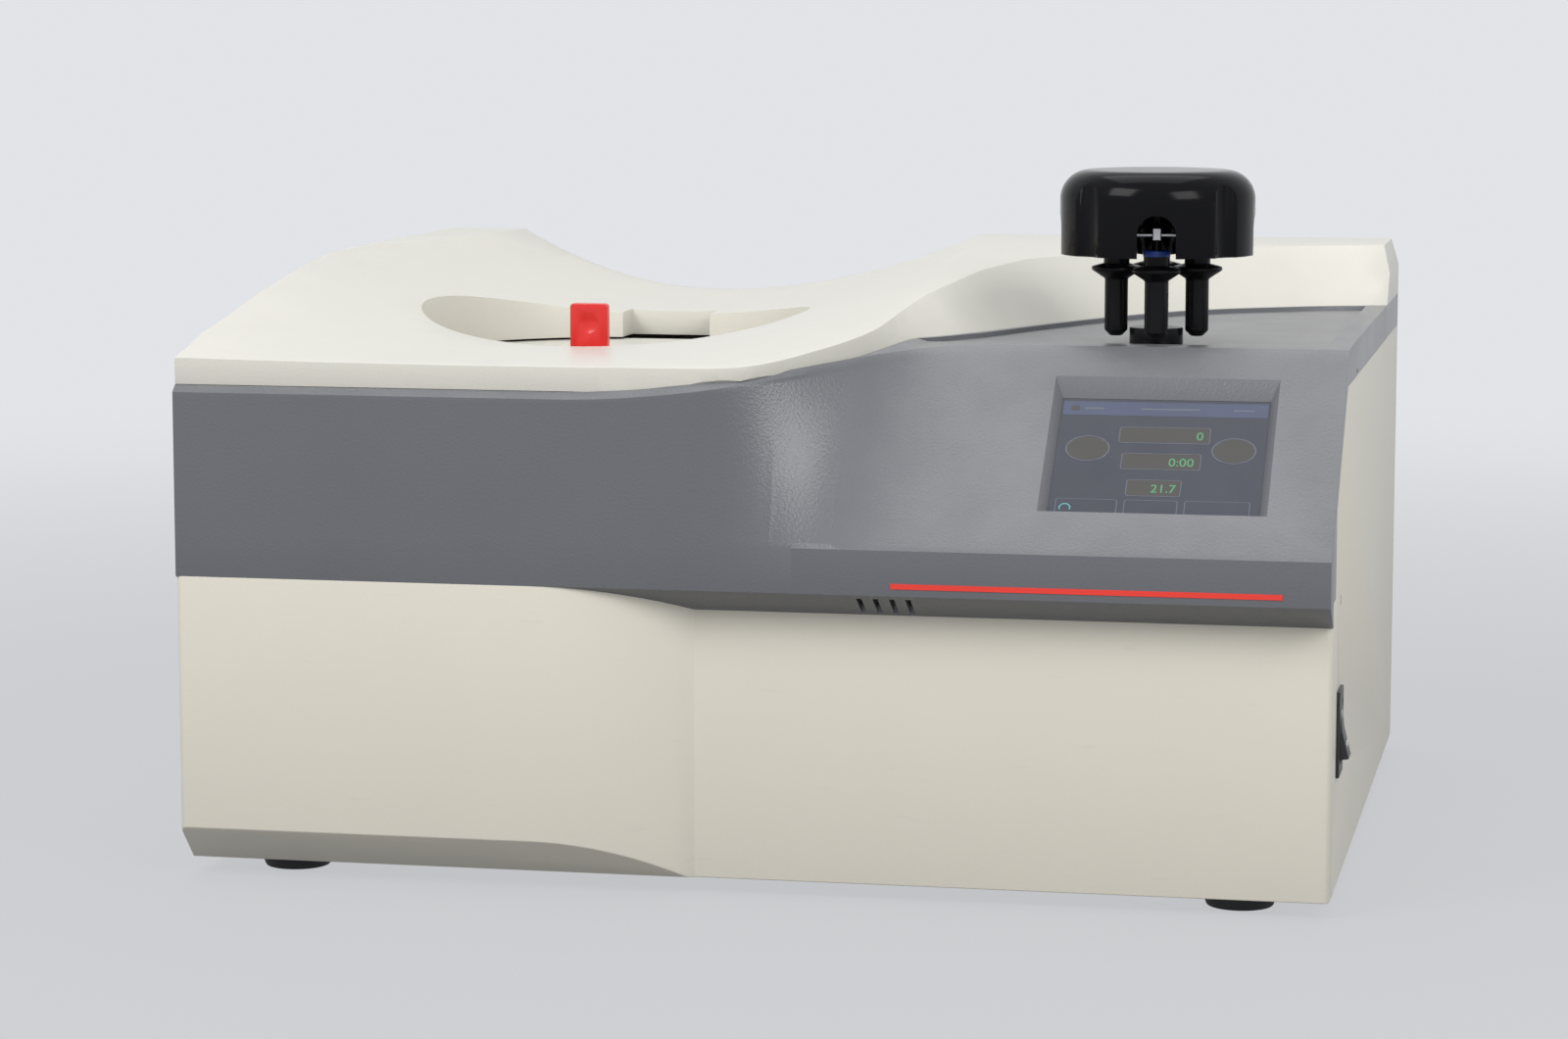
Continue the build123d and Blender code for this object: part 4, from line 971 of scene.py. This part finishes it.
print("screen with", len(screen_pieces), "pieces")

# %% [markdown]
# ## Small fittings
# Four details are too small for the imported model. A blue ring sits on each bucket's
# cap, a steel hook holds the cap on its pin, the rocker carries its line and circle,
# and two short near-black plates in the right side are painted shade where the slots
# are. Each starts as a primitive at its place, the rings, hooks and slot plates get their shape with an inset or a
# bevel, and each rides on its body.

# %% Blue cap rings and steel hooks
ring_radius = 0.0084
ring_height = 0.0034
ring_drop = 0.0115
hook_size = (0.0056, 0.0078, 0.0078)
hook_lift = 0.0005
pivot = {}
for joint in frame["joints"]:
    if joint["name"].startswith("bucket_swing"):
        pivot[joint["child"]] = (Vector(joint["pos_m"]), Vector(joint["axis"]))


def cap_ring(body, place):
    """A blue ring round the cap, with both flat ends drawn in a little."""
    bpy.ops.object.select_all(action="DESELECT")
    bpy.ops.mesh.primitive_cylinder_add(
        vertices=48, radius=ring_radius, depth=ring_height, end_fill_type="NGON",
        location=(place.x, place.y, place.z - ring_drop),
    )
    ring = bpy.context.object
    ring.name = "cap_ring_" + body[-1]
    bpy.ops.object.mode_set(mode="EDIT")
    bpy.ops.mesh.select_mode(type="FACE")
    bpy.ops.mesh.select_all(action="DESELECT")
    mesh = bmesh.from_edit_mesh(ring.data)
    for face in mesh.faces:
        face.select_set(abs(face.normal.z) > 0.9)
    bmesh.update_edit_mesh(ring.data)
    bpy.ops.mesh.inset(thickness=0.0012, depth=0.0004)
    bpy.ops.object.mode_set(mode="OBJECT")
    bpy.ops.object.transform_apply(location=True, rotation=True, scale=True)
    ring.data.materials.append(blue_plastic)
    bpy.ops.object.shade_smooth_by_angle(angle=math.radians(30))
    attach(ring, body)


def hook(body, place, axis):
    """A thick little steel plate that hangs the cap on its pin."""
    turn = math.atan2(axis.y, axis.x)
    middle = (place.x, place.y, place.z + hook_lift)
    plate_piece = cube("cap_hook_" + body[-1], middle, hook_size, turn)
    round_edges(plate_piece, 0.0007)
    plate_piece.data.materials.append(sheet_steel)
    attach(plate_piece, body)


for body, (place, axis) in pivot.items():
    cap_ring(body, place)
    hook(body, place, axis)
print("rings and hooks on", len(pivot), "buckets")

# %% Line and circle on the rocker
switch_low, switch_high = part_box("power_rocker")
side_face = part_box("side_panel_right")[1][0]
switch_y = (switch_low[1] + switch_high[1]) / 2
switch_z = (switch_low[2] + switch_high[2]) / 2
rocker_dip = 0.0011
mark_reach = 0.009
circle_radius = 0.0028
line_size = (0.0005, 0.0008, 0.006)
white_print = finish("white_print", (0.75, 0.75, 0.73), 0.5, dust=0.1)


def rocker_face_x(z):
    """Where the rocker's tilted face lies at height z."""
    points = [v.co for v in nodes["power_rocker"].data.vertices]
    low = max((p for p in points if p.z < switch_z - 0.008), key=lambda p: p.x)
    high = max((p for p in points if p.z > switch_z + 0.008), key=lambda p: p.x)
    middle_x = (low.x + high.x) / 2 - rocker_dip
    end = low if z < switch_z else high
    return middle_x + (end.x - middle_x) * abs(z - switch_z) / abs(end.z - switch_z)


def printed_mark(name, kind, z):
    """A thin white mark that lies on the rocker's face."""
    bpy.ops.object.select_all(action="DESELECT")
    place = (rocker_face_x(z), switch_y, z)
    if kind == "circle":
        bpy.ops.mesh.primitive_torus_add(
            major_segments=36, minor_segments=6, major_radius=circle_radius, minor_radius=0.0004,
            location=place, rotation=(0, math.radians(90), 0),
        )
    else:
        bpy.ops.mesh.primitive_cube_add(size=1, location=place, scale=line_size)
    mark = bpy.context.object
    mark.name = name
    bpy.ops.object.transform_apply(location=True, rotation=True, scale=True)
    mark.data.materials.append(white_print)
    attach(mark, "power_rocker")


printed_mark("rocker_line", "line", switch_z + mark_reach)
printed_mark("rocker_circle", "circle", switch_z - mark_reach)
print("marks on the rocker")

# %% Painted shade for the slots in the right side
# Near-black paint for the slots: it paints the shade inside each opening.
painted_slot_shade = finish("painted_slot_shade", (0.006, 0.006, 0.006), 0.8, dust=0.0, scuffs=0.0)
slot_plate = 0.001
slot_sink = 0.0004


def slot_shade_plate(name, y, z, length, height):
    """A short near-black plate with rounded edges, almost flush with the side's face: painted shade for a slot."""
    piece = cube(name, (side_face - slot_sink, y, z), (slot_plate, length, height))
    round_edges(piece, 0.0003, segments=2)
    piece.data.materials.append(painted_slot_shade)
    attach(piece, "cabinet")


slot_shade_plate("band_slot_shade", -0.114, 0.3122, 0.006, 0.0024)
slot_shade_plate("front_slot_shade", -0.226, 0.184, 0.0025, 0.006)
print("side slots at", round(side_face, 3), "m")
